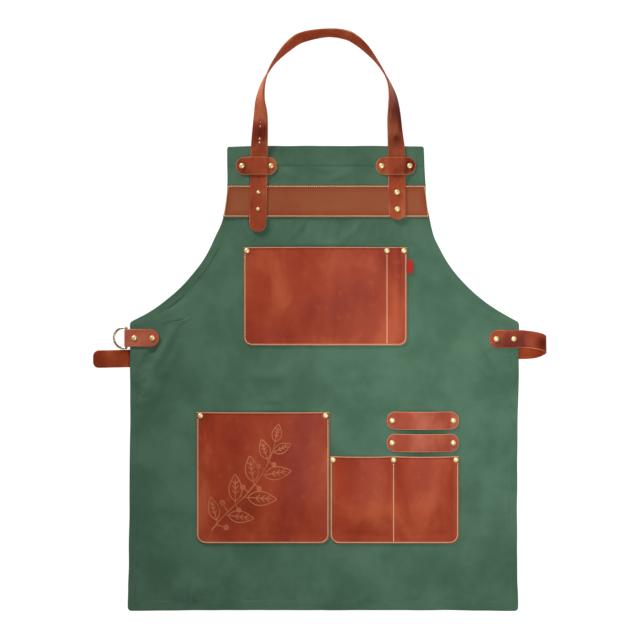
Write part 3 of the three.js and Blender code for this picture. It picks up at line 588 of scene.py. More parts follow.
def pocket_parts(edges, bellies):
    parts = []
    for i, belly in enumerate(bellies):
        flat_start = SEAM_FLAT if i == 0 else SEAM_FLAT / 2
        flat_end = SEAM_FLAT if i == len(bellies) - 1 else SEAM_FLAT / 2
        parts.append((edges[i] + flat_start, edges[i + 1] - flat_end, belly * MM))
    return parts


def pocket_under(name, x, y):
    pocket = POCKETS[name]
    left, right, low, high, _ = pocket["box"]
    parts = pocket_parts(pocket["edges"], pocket["bellies"])
    lift = slack(x, y, parts, low, high, pocket["corner"])
    loose = smooth(6 * MM, 30 * MM, min(x - left, right - x, y - low))
    wobble = ripple(x, y, 17, 17, 2.3) + 0.5 * ripple(x, y, 40, 40, 8.1)
    seam_dip = 0
    for divider in pocket["edges"][1:-1]:
        seam_dip -= 0.5 * MM * math.exp(-((x - divider) / (1.3 * MM)) ** 2) * smooth(0, 4 * MM, high - y)
    dent = max(rivet_dent(x, y) * 0.6, -0.25 * MM)
    return pocket["face"] + GAP + lift + 0.35 * MM * loose * wobble + dent + max(seam_dip, -0.28 * MM)


def pocket_top(name, x, y):
    return pocket_under(name, x, y) + POCKET_LEATHER


def build_pocket(name, slots):
    pocket = POCKETS[name]
    piece = build_patch(name + "_leather", pocket["box"], pocket["corner"],
                        lambda x, y: pocket_under(name, x, y), POCKET_LEATHER, slots,
                        seams=pocket["edges"][1:-1])
    return finish_piece(piece, "pocket_leather", name)


def finish_piece(piece, slot, *nodes, body="apron"):
    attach(piece, body)
    if nodes:
        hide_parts(*nodes)
    return piece


def band_shape(x, y):
    """The band's ends follow the bib's sides."""
    return x * half_width(y) / half_width(BAND_TOP) + sway(y), y


def band_under(x, y):
    return BIB_FACE + GAP + 0.12 * MM * ripple(x, y, 30, 30, 4.4)


def build_band(slots):
    half = half_width(BAND_TOP)
    box = (-half, half, BAND_BOTTOM, BAND_TOP, False)
    piece = build_patch("band_leather", box, 1.2 * MM, band_under, BAND_LEATHER, slots, shape=band_shape)
    return finish_piece(piece, "band_leather", "chest_band")


# Keepers and tool loops: strips with round ends that rise in the middle

NECK_STRAP = 29 * MM
NECK_SPACING = 232 * MM
NECK_SHIFT = 5.5 * MM
ARCH_RISE = 192 * MM
LEGS = {"left": (-1, 144.5 * MM, 3 * MM), "right": (1, 124.5 * MM, 2.2 * MM)}
NECK_TOP = BIB_FACE + GAP + BAND_LEATHER + GAP
NECK_SEAT = BIB_FACE + 2 * GAP
KEEPER_LINE = APRON_LENGTH - 33 * MM
KEEPER_WIDTH = 30 * MM
KEEPER_FLAT = 14.9 * MM
LOOP_FLAT = 14.2 * MM
LOOP_RISE = 8 * MM


def leg_x(leg, y):
    side, drop, lean = LEGS[leg]
    return NECK_SHIFT + side * (NECK_SPACING / 2 + lean * (APRON_LENGTH - y) / drop)


def build_keeper(name, leg, start, end, slots):
    middle = leg_x(leg, KEEPER_LINE)
    seat = BIB_FACE + GAP
    crown = NECK_SEAT + NECK_LEATHER + GAP
    side = NECK_STRAP / 2

    def under(x, y):
        away = abs(x - middle)
        foot = (end if x > middle else -start) - KEEPER_FLAT
        hump = crown + 0.9 * MM * math.cos(min(away / side, 1) * math.pi / 2)
        foot = max(foot, side + 2.5 * MM)
        return mix(hump, seat, smooth(side - 0.6 * MM, foot, away)) + rivet_dent(x, y) * 0.4

    low = KEEPER_LINE - KEEPER_WIDTH / 2
    box = (middle + start, middle + end, low, low + KEEPER_WIDTH, False)
    piece = build_patch(name + "_leather", box, KEEPER_WIDTH / 2 - 1 * MM, under, POCKET_LEATHER, slots,
                        cell=2 * MM)
    return finish_piece(piece, "strap_leather", name)


def build_loop(name, line, slots):
    seat = LOWER_FACE + GAP

    def under(x, y):
        share = (x - LOOP_LEFT - LOOP_FLAT) / (RIGHT_POCKET_RIGHT - LOOP_LEFT - 2 * LOOP_FLAT)
        rise = LOOP_RISE * math.sin(math.pi * min(max(share, 0), 1))
        return seat + rise + rivet_dent(x, y) * 0.6

    low = line - LOOP_WIDTH / 2
    box = (LOOP_LEFT, RIGHT_POCKET_RIGHT, low, low + LOOP_WIDTH, False)
    piece = build_patch(name + "_leather", box, LOOP_WIDTH / 2 - 1 * MM, under, POCKET_LEATHER, slots,
                        cell=2.2 * MM)
    return finish_piece(piece, "pocket_leather", name)


# Straps along a route

def curve_through(rows, steps):
    """Rows of numbers joined by a smooth curve, with steps between each two."""
    made = []
    for i in range(len(rows) - 1):
        before, start = rows[max(i - 1, 0)], rows[i]
        end, after = rows[i + 1], rows[min(i + 2, len(rows) - 1)]
        for k in range(steps):
            t = k / steps
            weights = (-t + 2 * t ** 2 - t ** 3, 2 - 5 * t ** 2 + 3 * t ** 3,
                       t + 4 * t ** 2 - 3 * t ** 3, t ** 3 - t ** 2)
            made.append([sum(w * v for w, v in zip(weights, column)) / 2
                         for column in zip(before, start, end, after)])
    made.append(list(rows[-1]))
    return made


def round_end(radius, steps=12):
    """Steps back from a strap's end, with what its rounded corners take off each side there."""
    turns = [math.pi / 2 * k / steps for k in range(steps + 1)]
    return [(radius * (1 - math.cos(turn)), radius * (1 - math.sin(turn))) for turn in turns]


def strap_section(width, thick):
    """Half-round edges and flat faces: places across and up, with each stretch's material."""
    radius = min(1.1 * MM, thick / 2 - 0.05 * MM)
    flat = width / 2 - radius
    fine = [0, 0.5 * MM, 1.2 * MM, 2.2 * MM, 4 * MM, 7 * MM, 10.5 * MM]
    inner = [edge for edge in fine if edge < flat * 0.98]
    across = [-flat + edge for edge in inner] + [0] + [flat - edge for edge in reversed(inner)]
    turns = [math.radians(turn) for turn in (22.5, 45, 67.5, 90)]
    rise = thick / 2 - radius
    corner = [(flat + radius * math.sin(turn), rise + radius * math.cos(turn)) for turn in turns]
    edge = [(a, b, 2) for a, b in corner] + [(a, -b, 2) for a, b in reversed(corner)]
    top = [(a, thick / 2, 0) for a in across]
    under = [(a, -thick / 2, 1) for a in reversed(across)]
    return top + edge + under + [(-a, -b, 2) for a, b, _ in edge]


def build_strap(name, stations, width, thick, slots):
    """A strap through stations of (middle, across direction, width there)."""
    section = strap_section(width, thick)
    count = len(section)
    points, insets, darkenings = [], [], []
    for i, (at, across, here) in enumerate(stations):
        after, before = beside(stations, i)
        normal = across.cross((after[0] - before[0]).normalized()).normalized()
        scale = here / width
        for a, b, _ in section:
            points.append(at + across * (a * scale) + normal * b)
            insets.append(max((width / 2 - abs(a)) * scale, 0))
            darkenings.append(darkening_at(points[-1]))
    faces, marks = [], []
    for start in range(0, len(points) - count, count):
        for k, (_, _, mark) in enumerate(section):
            a, b = start + k, start + (k + 1) % count
            faces.append((a, b, b + count, a + count))
            marks.append(mark if mark == section[(k + 1) % count][2] else 2)
    faces.append(tuple(reversed(range(count))))
    faces.append(tuple(range(len(points) - count, len(points))))
    piece = add_piece(name, points, faces, slots, marks + [2, 2], outward=True)
    keep_value(piece, "inset", insets)
    keep_value(piece, "darkening", darkenings)
    return piece


# Places where the straps are painted darker: across, up and reach in millimetres.
# The last, at the waist strap's turn beyond the right edge, is painted shade where the strap curves down and
# away.
STRAP_DARKENING = [(-106, 810, 26), (118, 842, 40), (122, 800, 14), (369, 454, 15)]


def darkening_at(point):
    """How far the strap is darkened at a point, from 0 to 1."""
    return max(math.exp(-((point - place(x * MM, y * MM, point.z)).length / (reach * MM)) ** 2)
               for x, y, reach in STRAP_DARKENING)


# Stations round the arch: share of half the spacing, share of the rise, roll in degrees and
# height of the low edge in millimetres
NECK_ROUTE = [
    (-1, 0, 8, 4.2), (-0.985, 0.176, 25, 3), (-0.98, 0.285, 38, 1.8), (-0.987, 0.402, 57, 0.7),
    (-0.952, 0.529, 73, 0.1), (-0.884, 0.635, 84, 0.1), (-0.765, 0.752, 93, 0.1), (-0.566, 0.881, 111, 0.1),
    (-0.37, 0.956, 114, 0.1), (-0.009, 0.994, 106, 0.1), (0.262, 0.977, 110, 0.1), (0.413, 0.931, 109, 0.1),
    (0.564, 0.852, 102, 0.1), (0.705, 0.75, 90, 0.1), (0.821, 0.643, 84, 0.1), (0.9, 0.544, 77, 0.1),
    (0.947, 0.438, 61, 0.5), (0.964, 0.331, 46, 1.4), (0.971, 0.226, 33, 2.4), (0.984, 0.107, 24, 3.4),
    (1, 0, 8, 4.2),
]


def leg_rows(leg):
    end = APRON_LENGTH - LEGS[leg][1]
    rows = []
    for back, inset in round_end(NECK_STRAP / 2 - 1 * MM):
        y = end + back
        rows.append([leg_x(leg, y), y, 0, NECK_TOP, NECK_STRAP - 2 * inset])
    keeper_low = KEEPER_LINE - KEEPER_WIDTH / 2
    lows = [(mix(BAND_BOTTOM, BAND_TOP, 0.4), NECK_TOP), (mix(BAND_BOTTOM, BAND_TOP, 0.7), NECK_TOP),
            (BAND_TOP - 3 * MM, NECK_TOP), (BAND_TOP + 6 * MM, mix(NECK_TOP, NECK_SEAT, 0.6)),
            (keeper_low - 1 * MM, NECK_SEAT), (KEEPER_LINE, NECK_SEAT),
            (keeper_low + KEEPER_WIDTH + 1 * MM, NECK_SEAT)]
    return rows + [[leg_x(leg, y), y, 0, low, NECK_STRAP] for y, low in lows]


def neck_stations():
    arch = [[NECK_SHIFT + across * NECK_SPACING / 2, APRON_LENGTH + up * ARCH_RISE, roll, low * MM,
             NECK_STRAP] for across, up, roll, low in NECK_ROUTE]
    ends = len(round_end(NECK_STRAP))
    left, right = leg_rows("left"), list(reversed(leg_rows("right")))
    middle = curve_through(left[ends - 1:] + arch + right[:-ends + 1], 6)
    rows = left[:ends - 1] + middle + right[len(right) - ends + 1:]
    spots = []
    for x, y, roll, low, _ in rows:
        turn = math.radians(roll)
        rise = math.sin(turn) * NECK_STRAP / 2 + abs(math.cos(turn)) * NECK_LEATHER / 2
        spots.append(place(x, y, low + rise))
    stations = []
    for i, (_, _, roll, _, width) in enumerate(rows):
        after, before = beside(spots, i)
        along = after - before
        inward = Vector((along.y, -along.x, 0)).normalized()
        turn = math.radians(roll)
        stations.append((spots[i], inward * math.cos(turn) + Vector((0, 0, math.sin(turn))), width))
    return stations


STRAP_HOLE = 1.25 * MM
STRAP_HOLES = [-53 * MM, 6.5 * MM, 13 * MM, 34 * MM, 40.5 * MM]


def punch_holes(strap, stations):
    """Round holes through the left leg, at heights measured from the canvas's top edge."""
    leg = stations[:len(stations) // 3]
    for up in STRAP_HOLES:
        line = place(0, APRON_LENGTH + up, 0).y
        at, across, _ = min(leg, key=lambda station: abs(station[0].y - line))
        along = Vector((0, 1, 0))
        normal = across.cross(along).normalized()
        select_none()
        bpy.ops.mesh.primitive_cylinder_add(vertices=20, radius=STRAP_HOLE, depth=4 * NECK_LEATHER)
        cutter = bpy.context.object
        cutter.data.transform(normal.to_track_quat("Z", "Y").to_matrix().to_4x4())
        cutter.data.transform(Matrix.Translation(Vector((at.x, line, at.z))))
        cutter.data.materials.append(strap.data.materials[2])
        modifier = strap.modifiers.new("hole", "BOOLEAN")
        modifier.operation = "DIFFERENCE"
        modifier.solver = "EXACT"
        modifier.object = cutter
        select_none()
        strap.select_set(True)
        bpy.context.view_layer.objects.active = strap
        bpy.ops.object.modifier_apply(modifier=modifier.name)
        bpy.data.objects.remove(cutter)


# The waist strap's turn beyond the right edge: shares of its reach, its height and its way down,
# with its roll in degrees
WAIST_ROUTE = [
    (0, 0, 0, 0), (0.2, 0.16, 0.02, 7), (0.5, 0.82, 0.09, 13), (0.78, 0.94, 0.21, 14), (0.93, 0.66, 0.35, 10),
    (1, 0.1, 0.49, 5), (0.95, -0.6, 0.62, 2), (0.8, -1, 0.8, 0), (0.5, -1, 0.95, 0), (0, -1, 1, 0),
]


WAIST_START = APRON_WIDTH / 2 - 50.5 * MM
WAIST_END = -APRON_WIDTH / 2 - 63 * MM
WAIST_CREST = 15 * MM - WAIST_LEATHER / 2
WAIST_REACH = 46 * MM - WAIST_LEATHER / 2


def waist_y(x):
    return WAIST_LINE + WAIST_TILT * x / APRON_WIDTH


def waist_stations():
    edge = APRON_WIDTH / 2
    front = TAB_FACE + GAP + WAIST_LEATHER / 2
    floor_level = WAIST_LEATHER / 2
    rows = [[WAIST_START + back, FRONT_LINE, front, WAIST_STRAP - 2 * inset, 0]
            for back, inset in round_end(WAIST_STRAP / 2 - 1 * MM)]
    turn = []
    for out, high, down, roll in WAIST_ROUTE:
        height = front + high * (WAIST_CREST - front if high > 0 else front - floor_level)
        y = mix(FRONT_LINE, waist_y(edge), down)
        turn.append([edge + out * WAIST_REACH, y, height, WAIST_STRAP, roll])
    rows += curve_through([rows[-1]] + turn, 6)[1:]
    for k in range(1, 60):
        x = mix(edge, WAIST_END + 12 * MM, k / 60)
        rows.append([x, waist_y(x), floor_level, WAIST_STRAP, 0])
    for back, inset in reversed(round_end(9.7 * MM)):
        x = WAIST_END + back
        rows.append([x, waist_y(x), floor_level, WAIST_STRAP - 2 * inset, 0])
    stations = []
    for x, y, z, width, roll in rows:
        turn = math.radians(roll)
        stations.append((place(x, y, z), Vector((0, -math.cos(turn), math.sin(turn))), width))
    return stations


# Ring tab, folded round the ring's bar
FOLD_X = -APRON_WIDTH / 2 - 5 * MM
RING_WIRE = 4 * MM
FOLD_MIDDLE = RING_WIRE / 2 + 0.5 * MM + TAB_LEATHER / 2
BACK_LEAF = 1.6 * MM + TAB_LEATHER / 2
FRONT_LEAF = TAB_FACE + GAP + TAB_LEATHER / 2
BAR_HEIGHT = (BACK_LEAF + FRONT_LEAF) / 2


def tab_stations():
    end = 49.5 * MM - APRON_WIDTH / 2
    flare = 7.4 * MM
    leaf = [[end - back, TAB_WIDTH - 2 * inset] for back, inset in round_end(TAB_WIDTH / 2 - 1 * MM)]
    leaf += [[mix(end - TAB_WIDTH / 2, FOLD_X + flare, k / 6), TAB_WIDTH] for k in range(1, 7)]
    bulge = FOLD_MIDDLE - 0.25 * (FOLD_MIDDLE - (FRONT_LEAF - BACK_LEAF) / 2)
    fold = [[FOLD_X + flare, BACK_LEAF, TAB_WIDTH], [FOLD_X + flare / 2, BAR_HEIGHT - bulge, TAB_WIDTH]]
    for turn in [-math.pi / 2 - math.pi * k / 6 for k in range(7)]:
        fold.append([FOLD_X + FOLD_MIDDLE * math.cos(turn), BAR_HEIGHT + FOLD_MIDDLE * math.sin(turn),
                     TAB_WIDTH])
    fold += [[FOLD_X + flare / 2, BAR_HEIGHT + bulge, TAB_WIDTH], [FOLD_X + flare, FRONT_LEAF, TAB_WIDTH]]
    rows = [[x, BACK_LEAF, width] for x, width in leaf[:-1]]
    rows += curve_through(fold, 4)
    rows += [[x, FRONT_LEAF, width] for x, width in reversed(leaf[:-1])]
    return [(place(x, TAB_LINE, z), Vector((0, -1, 0)), width) for x, z, width in rows]


# Small metal parts

def select_none():
    bpy.ops.object.select_all(action="DESELECT")


def pick(piece, test, kind="FACE"):
    """In edit mode, selects the faces whose middle passes a test, or the edges whose ends do."""
    bpy.ops.mesh.select_mode(type=kind)
    bpy.ops.mesh.select_all(action="DESELECT")
    work = bmesh.from_edit_mesh(piece.data)
    if kind == "FACE":
        for face in work.faces:
            face.select_set(test(face.calc_center_median()))
    else:
        for edge in work.edges:
            edge.select_set(all(test(vertex.co) for vertex in edge.verts))
    work.select_flush_mode()
    bmesh.update_edit_mesh(piece.data)


RIVET_RISE = 2.6 * MM
RIVET_POST = 1.7 * MM
POST_LENGTH = 6 * MM
BACK_THICK = 1.2 * MM
# Radius of the domed cap and of the back cap
SMALL_RIVET = (3.1 * MM, 3.1 * MM)
RIVET = (4.5 * MM, 4 * MM)


def rivet_model(cap, back):
    """A domed rivet with its seat at height 0, its post below it and its back cap under that."""
    select_none()
    bpy.ops.mesh.primitive_uv_sphere_add(segments=28, ring_count=16, radius=1)
    model = bpy.context.object
    bpy.ops.object.mode_set(mode="EDIT")
    pick(model, lambda at: at.z < -0.01)
    bpy.ops.mesh.delete(type="FACE")
    pick(model, lambda at: abs(at.z) < 0.01, "EDGE")
    bpy.ops.mesh.edge_face_add()
    bpy.ops.mesh.select_all(action="SELECT")
    bpy.ops.transform.resize(value=(cap, cap, RIVET_RISE), center_override=(0, 0, 0))
    pick(model, lambda at: at.z < 0.05 * MM)
    bpy.ops.mesh.inset(thickness=cap - RIVET_POST)
    bpy.ops.mesh.extrude_region_move(TRANSFORM_OT_translate={"value": (0, 0, -POST_LENGTH)})
    bpy.ops.mesh.extrude_region_move(TRANSFORM_OT_translate={"value": (0, 0, 0)})
    share = back / RIVET_POST
    bpy.ops.transform.resize(value=(share, share, 1))
    bpy.ops.mesh.extrude_region_move(TRANSFORM_OT_translate={"value": (0, 0, -BACK_THICK)})
    bpy.ops.mesh.select_all(action="SELECT")
    bpy.ops.mesh.remove_doubles(threshold=0.01 * MM)
    bpy.ops.mesh.normals_make_consistent(inside=False)
    bpy.ops.object.mode_set(mode="OBJECT")
    return model


def build_rivets(material):
    models = {True: rivet_model(*SMALL_RIVET), False: rivet_model(*RIVET)}
    for model in models.values():
        model.data.materials.append(material)
        model.data.shade_smooth()
    for name in RIVETS:
        low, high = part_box(name)
        mesh = models["neck_left" in name].data.copy()
        piece = bpy.data.objects.new(name + "_brass", mesh)
        bpy.context.scene.collection.objects.link(piece)
        seat = high.z - RIVET_RISE
        back = low.z + BACK_THICK
        middle = (low + high) / 2
        turn = Matrix.Rotation(random.uniform(0, math.tau), 4, "Z")
        for vertex in mesh.vertices:
            spot = turn @ vertex.co
            height = seat + spot.z
            if spot.z < -POST_LENGTH / 2:
                height = back + spot.z + POST_LENGTH
            vertex.co = (middle.x + spot.x, middle.y + spot.y, height)
        piece.data.set_sharp_from_angle(angle=math.radians(40))
        finish_piece(piece, "rivet_brass", name)
    for model in models.values():
        bpy.data.objects.remove(model)


def build_ring(material):
    """The ring: a straight bar in the tab's fold and a round bow that rests on the floor."""
    wire = RING_WIRE / 2
    half = (30.8 * MM + RING_WIRE) / 2
    corner = 3 * MM
    leg = 5.5 * MM
    turns = [math.pi / 2 * k / 6 for k in range(7)]
    rounding = [(-corner * (1 - math.cos(turn)), half - corner + corner * math.sin(turn)) for turn in turns]
    turns = [math.pi / 2 + math.pi * k / 32 for k in range(33)]
    bow = [(half * math.cos(turn) - leg, half * math.sin(turn)) for turn in turns]
    line = rounding + bow + [(x, -y) for x, y in reversed(rounding)]
    tilt = math.asin((BAR_HEIGHT - wire - 0.1 * MM) / (leg + half))
    pose = Matrix.Translation(place(FOLD_X, TAB_LINE, BAR_HEIGHT)) @ Matrix.Rotation(-tilt, 4, "Y")
    sides = 16
    points, faces, vertical_facing = [], [], []
    for i, (x, y) in enumerate(line):
        following = (i + 1) % len(line)
        after, before = line[following], line[i - 1]
        along = Vector((after[0] - before[0], after[1] - before[1], 0)).normalized()
        outward = Vector((along.y, -along.x, 0))
        for k in range(sides):
            turn = math.tau * k / sides
            point = Vector((x, y, 0)) + outward * (wire * math.cos(turn))
            point.z = wire * math.sin(turn)
            points.append(pose @ point)
            # How far the wire faces up or down at each point; its sides get the metal's painted shade
            vertical_facing.append(abs(math.sin(turn)))
            beyond = (k + 1) % sides
            here, there = i * sides, following * sides
            faces.append((here + k, here + beyond, there + beyond, there + k))
    piece = add_piece("ring_wire", points, faces, [material], outward=True)
    keep_value(piece, "vertical_facing", vertical_facing)
    return finish_piece(piece, "ring_metal", "d_ring", body="ring")


# Thread

def stitch_model(size):
    """One stitch lying along X: a short thread that dips into the work at both ends."""
    select_none()
    bpy.ops.mesh.primitive_uv_sphere_add(segments=6, ring_count=5, radius=0.5)
    model = bpy.context.object
    bpy.ops.object.mode_set(mode="EDIT")
    bpy.ops.transform.rotate(value=math.pi / 2, orient_axis="Y", center_override=(0, 0, 0))
    bpy.ops.transform.resize(value=size)
    bpy.ops.object.mode_set(mode="OBJECT")
    shape = ([vertex.co.copy() for vertex in model.data.vertices],
             [tuple(face.vertices) for face in model.data.polygons])
    bpy.data.objects.remove(model)
    return shape


def along_path(path, pitch):
    """Even places along a path of (x, y) points, each with its direction."""
    lengths = [math.dist(a, b) for a, b in zip(path, path[1:])]
    total = sum(lengths)
    count = max(round(total / pitch), 1)
    made = []
    segment, covered = 0, 0
    for k in range(count):
        goal = total * (k + 0.5) / count
        while segment < len(lengths) - 1 and covered + lengths[segment] < goal:
            covered += lengths[segment]
            segment += 1
        (ax, ay), (bx, by) = path[segment], path[segment + 1]
        share = (goal - covered) / lengths[segment]
        made.append((mix(ax, bx, share), mix(ay, by, share), math.atan2(by - ay, bx - ax)))
    return made


def sew(name, paths, height, model, material, slot, slant=0, shift=None):
    """Rows of stitches along paths, on a surface whose height is given."""
    corners, shapes = model
    points, faces = [], []
    step = 1 * MM
    for path in paths:
        for x, y, angle in along_path(path, STITCH_PITCH):
            z = height(x, y)
            dx, dy = math.cos(angle) * step, math.sin(angle) * step
            pitch_up = (height(x + dx, y + dy) - height(x - dx, y - dy)) / (2 * step)
            roll_up = (height(x - dy, y + dx) - height(x + dy, y - dx)) / (2 * step)
            along = Vector((math.cos(angle), math.sin(angle), pitch_up)).normalized()
            aside = Vector((-math.sin(angle), math.cos(angle), roll_up)).normalized()
            normal = along.cross(aside).normalized()
            turn = Matrix((along, aside, normal)).transposed().to_4x4()
            turn = turn @ Matrix.Rotation(math.radians(slant + random.uniform(-4, 4)), 4, "Z")
            base = len(points)
            middle = place(*(shift(x, y) if shift else (x, y)), z)
            points += [middle + (turn @ corner.to_4d()).to_3d() for corner in corners]
            faces += [tuple(base + index for index in face) for face in shapes]
    return finish_piece(add_piece(name, points, faces, [material]), slot)


def seam_path(box, corner):
    """Down the left side, round the two lower corners and up the right side."""
    left, right, low, high, _ = box
    radius = corner - STITCH_INSET
    path = [(left + STITCH_INSET, high - SEAM_DROP)]
    for middle, first in ((left + corner, math.pi), (right - corner, -math.pi / 2)):
        for turn in [first + math.pi / 2 * k / 8 for k in range(9)]:
            path.append((middle + radius * math.cos(turn), low + corner + radius * math.sin(turn)))
    path.append((right - STITCH_INSET, high - SEAM_DROP))
    return path


# Engraving on the lower left pocket: a leafy sprig in thin lines

ENGRAVING_WIDTH = 1.7 * MM
LINE_END = 0.55
# Across the line: share of its width, and height in millimetres
ENGRAVED_SECTION = [(-0.5, -0.15), (-0.36, 0.1), (0.36, 0.1), (0.5, -0.15)]
STEM = [(-192, 136), (-176, 156), (-158, 174), (-138, 192), (-120, 213), (-104, 236), (-92, 260), (-84, 284)]
# Leaves: share of the stem's length, turn from it in degrees, length and half width in millimetres
LEAVES = [
    (0.1, 54, 46, 9), (0.34, 50, 52, 11), (0.58, 46, 50, 11), (0.82, 42, 40, 9),
    (0.2, -52, 50, 10), (0.44, -50, 56, 12), (0.68, -48, 52, 11), (0.9, -44, 36, 8), (1, 6, 34, 8),
]
# Berries on short stalks: share of the stem, turn, stalk length and radius
BERRIES = [
    (0.24, 76, 14, 4.2), (0.5, 88, 9, 3.6), (0.74, 86, 8, 3.4), (0.08, -66, 14, 3.8),
    (0.34, -100, 7, 3.4), (0.59, -98, 7, 3.4), (0.82, -92, 7, 3.2),
]


def leaf_lines(start, turn, long, wide):
    """A leaf's outline, its middle vein and its side veins, as lines in millimetres."""
    def at(share, side):
        along, aside = share * long, side * wide
        return (start[0] + along * math.cos(turn) - aside * math.sin(turn),
                start[1] + along * math.sin(turn) + aside * math.cos(turn))

    shares = [k / 14 for k in range(15)]
    bulge = [math.sin(math.pi * share ** 0.8) ** 0.9 if 0 < share < 1 else 0 for share in shares]
    lines = [[at(0.12 + 0.88 * share, side * swell) for share, swell in zip(shares, bulge)]
             for side in (1, -1)]
    lines.append([at(0, 0), at(0.5, 0.04), at(0.86, 0)])
    for share in (0.36, 0.52, 0.67):
        lines += [[at(share, 0), at(share + 0.12, side * 0.5)] for side in (1, -1)]
    return lines


def sprig_lines():
    stem = curve_through(STEM, 6)
    lines = [stem]

    def stem_at(share):
        spot = share * (len(stem) - 1)
        i = min(int(spot), len(stem) - 2)
        a, b = stem[i], stem[i + 1]
        return (mix(a[0], b[0], spot - i), mix(a[1], b[1], spot - i)), math.atan2(b[1] - a[1], b[0] - a[0])

    for share, turn, long, wide in LEAVES:
        at, heading = stem_at(share)
        lines += leaf_lines(at, heading + math.radians(turn), long, wide)
    for share, turn, stalk, radius in BERRIES:
        at, heading = stem_at(share)
        angle = heading + math.radians(turn)
        end = (at[0] + stalk * math.cos(angle), at[1] + stalk * math.sin(angle))
        middle = (end[0] + radius * math.cos(angle), end[1] + radius * math.sin(angle))
        lines.append([at, end])
        for ring in (1, 0.45):
            lines.append([(middle[0] + ring * radius * math.cos(math.tau * k / 16),
                           middle[1] + ring * radius * math.sin(math.tau * k / 16)) for k in range(17)])
    return lines


def build_engraving(material):
    points, faces = [], []
    for line in sprig_lines():
        fine = curve_through([(x * MM, y * MM) for x, y in line], 3)
        for i, (x, y) in enumerate(fine):
            after, before = beside(fine, i)
            width = ENGRAVING_WIDTH * (LINE_END if i in (0, len(fine) - 1) else 1) / math.dist(after, before)
            aside_x, aside_y = (before[1] - after[1]) * width, (after[0] - before[0]) * width
            for across, lift in ENGRAVED_SECTION:
                px, py = x + aside_x * across, y + aside_y * across
                points.append(place(px, py, pocket_top("lower_left_pocket", px, py) + lift * MM))
            if i:
                base = len(points) - 8
                faces += [(base + k, base + k + 1, base + k + 5, base + k + 4) for k in range(3)]
                faces.append((base + 3, base, base + 4, base + 7))
    piece = add_piece("engraving", points, faces, [material], outward=True, smooth=False)
    return finish_piece(piece, "pocket_leather")


# Shader building blocks

def feed(tree, socket, value):
    """Joins a socket to another node's output, or gives it a value of its own."""
    if isinstance(value, bpy.types.NodeSocket):
        tree.links.new(value, socket)
    else:
        socket.default_value = value


def node(tree, kind, settings=None, **inputs):
    made = tree.nodes.new(kind)
    for name, value in (settings or {}).items():
        setattr(made, name, value)
    for name, value in inputs.items():
        feed(tree, made.inputs[name.replace("_", " ")], value)
    return made


def blend_colors(tree, factor, first, second):
    made = node(tree, "ShaderNodeMix", {"data_type": "RGBA"})
    for index, value in ((0, factor), (6, first), (7, second)):
        feed(tree, made.inputs[index], value)
    return made.outputs[2]


def sums(tree, kind, first, second=0.0):
    made = node(tree, "ShaderNodeMath", {"operation": kind})
    feed(tree, made.inputs[0], first)
    feed(tree, made.inputs[1], second)
    return made.outputs[0]


def span(tree, value, low, high, start=0.0, end=1.0):
    """A value moved from one range to another, held at the ends."""
    made = node(tree, "ShaderNodeMapRange", {"interpolation_type": "SMOOTHSTEP"}, Value=value,
                From_Min=low, From_Max=high, To_Min=start, To_Max=end)
    return made.outputs["Result"]


def on_piece(tree):
    """Places on the piece itself, in metres."""
    return node(tree, "ShaderNodeTexCoord").outputs["Object"]


def stored(tree, name):
    """A number that was kept for each point of the piece."""
    return node(tree, "ShaderNodeAttribute", {"attribute_name": name}).outputs["Fac"]


def clouds(tree, at, scale, detail, roughness=0.5, **others):
    """Soft, uneven patches, from 0 to 1."""
    return node(tree, "ShaderNodeTexNoise", Vector=at, Scale=scale, Detail=detail, Roughness=roughness,
                **others).outputs["Fac"]


def new_group(name, inputs, outputs):
    """A shader node group with named inputs and outputs, given as names and kinds."""
    group = bpy.data.node_groups.new(name, "ShaderNodeTree")
    for sockets, way in ((inputs, "INPUT"), (outputs, "OUTPUT")):
        for label, kind in sockets.items():
            group.interface.new_socket(name=label, in_out=way, socket_type="NodeSocket" + kind)
    start = group.nodes.new("NodeGroupInput")
    end = group.nodes.new("NodeGroupOutput")
    return group, start.outputs, end.inputs


def put_group(tree, group, **inputs):
    return node(tree, "ShaderNodeGroup", {"node_tree": group}, **inputs).outputs


def make_cloudy():
    """Pull-up leather's cloudy colour: dark hollows and light, rubbed patches over a base."""
    colors = {"Dark": "Color", "Base": "Color", "Light": "Color"}
    group, given, out = new_group("cloudy_leather", {**colors, "Scale": "Float", "Spots": "Float"},
                                  {"Color": "Color", "Rub": "Float"})
    at = on_piece(group)
    longer = node(group, "ShaderNodeVectorMath", {"operation": "MULTIPLY"})
    feed(group, longer.inputs[0], at)
    feed(group, longer.inputs[1], (1.0, 0.6, 1.0))
    broad = clouds(group, longer.outputs[0], given["Scale"], 4.0, 0.55, Distortion=0.25)
    small = clouds(group, at, sums(group, "MULTIPLY", given["Scale"], 5.3), 6.0, 0.7)
    dark = span(group, broad, 0.52, 0.34)
    light = span(group, broad, 0.5, 0.7)
    spots = span(group, small, 0.55, 0.72)
    color = blend_colors(group, dark, given["Base"], given["Dark"])
    color = blend_colors(group, light, color, given["Light"])
    color = blend_colors(group, sums(group, "MULTIPLY", spots, given["Spots"]), color, given["Light"])
    feed(group, out["Color"], color)
    feed(group, out["Rub"], sums(group, "ADD", light, sums(group, "MULTIPLY", spots, 0.5)))
    return group


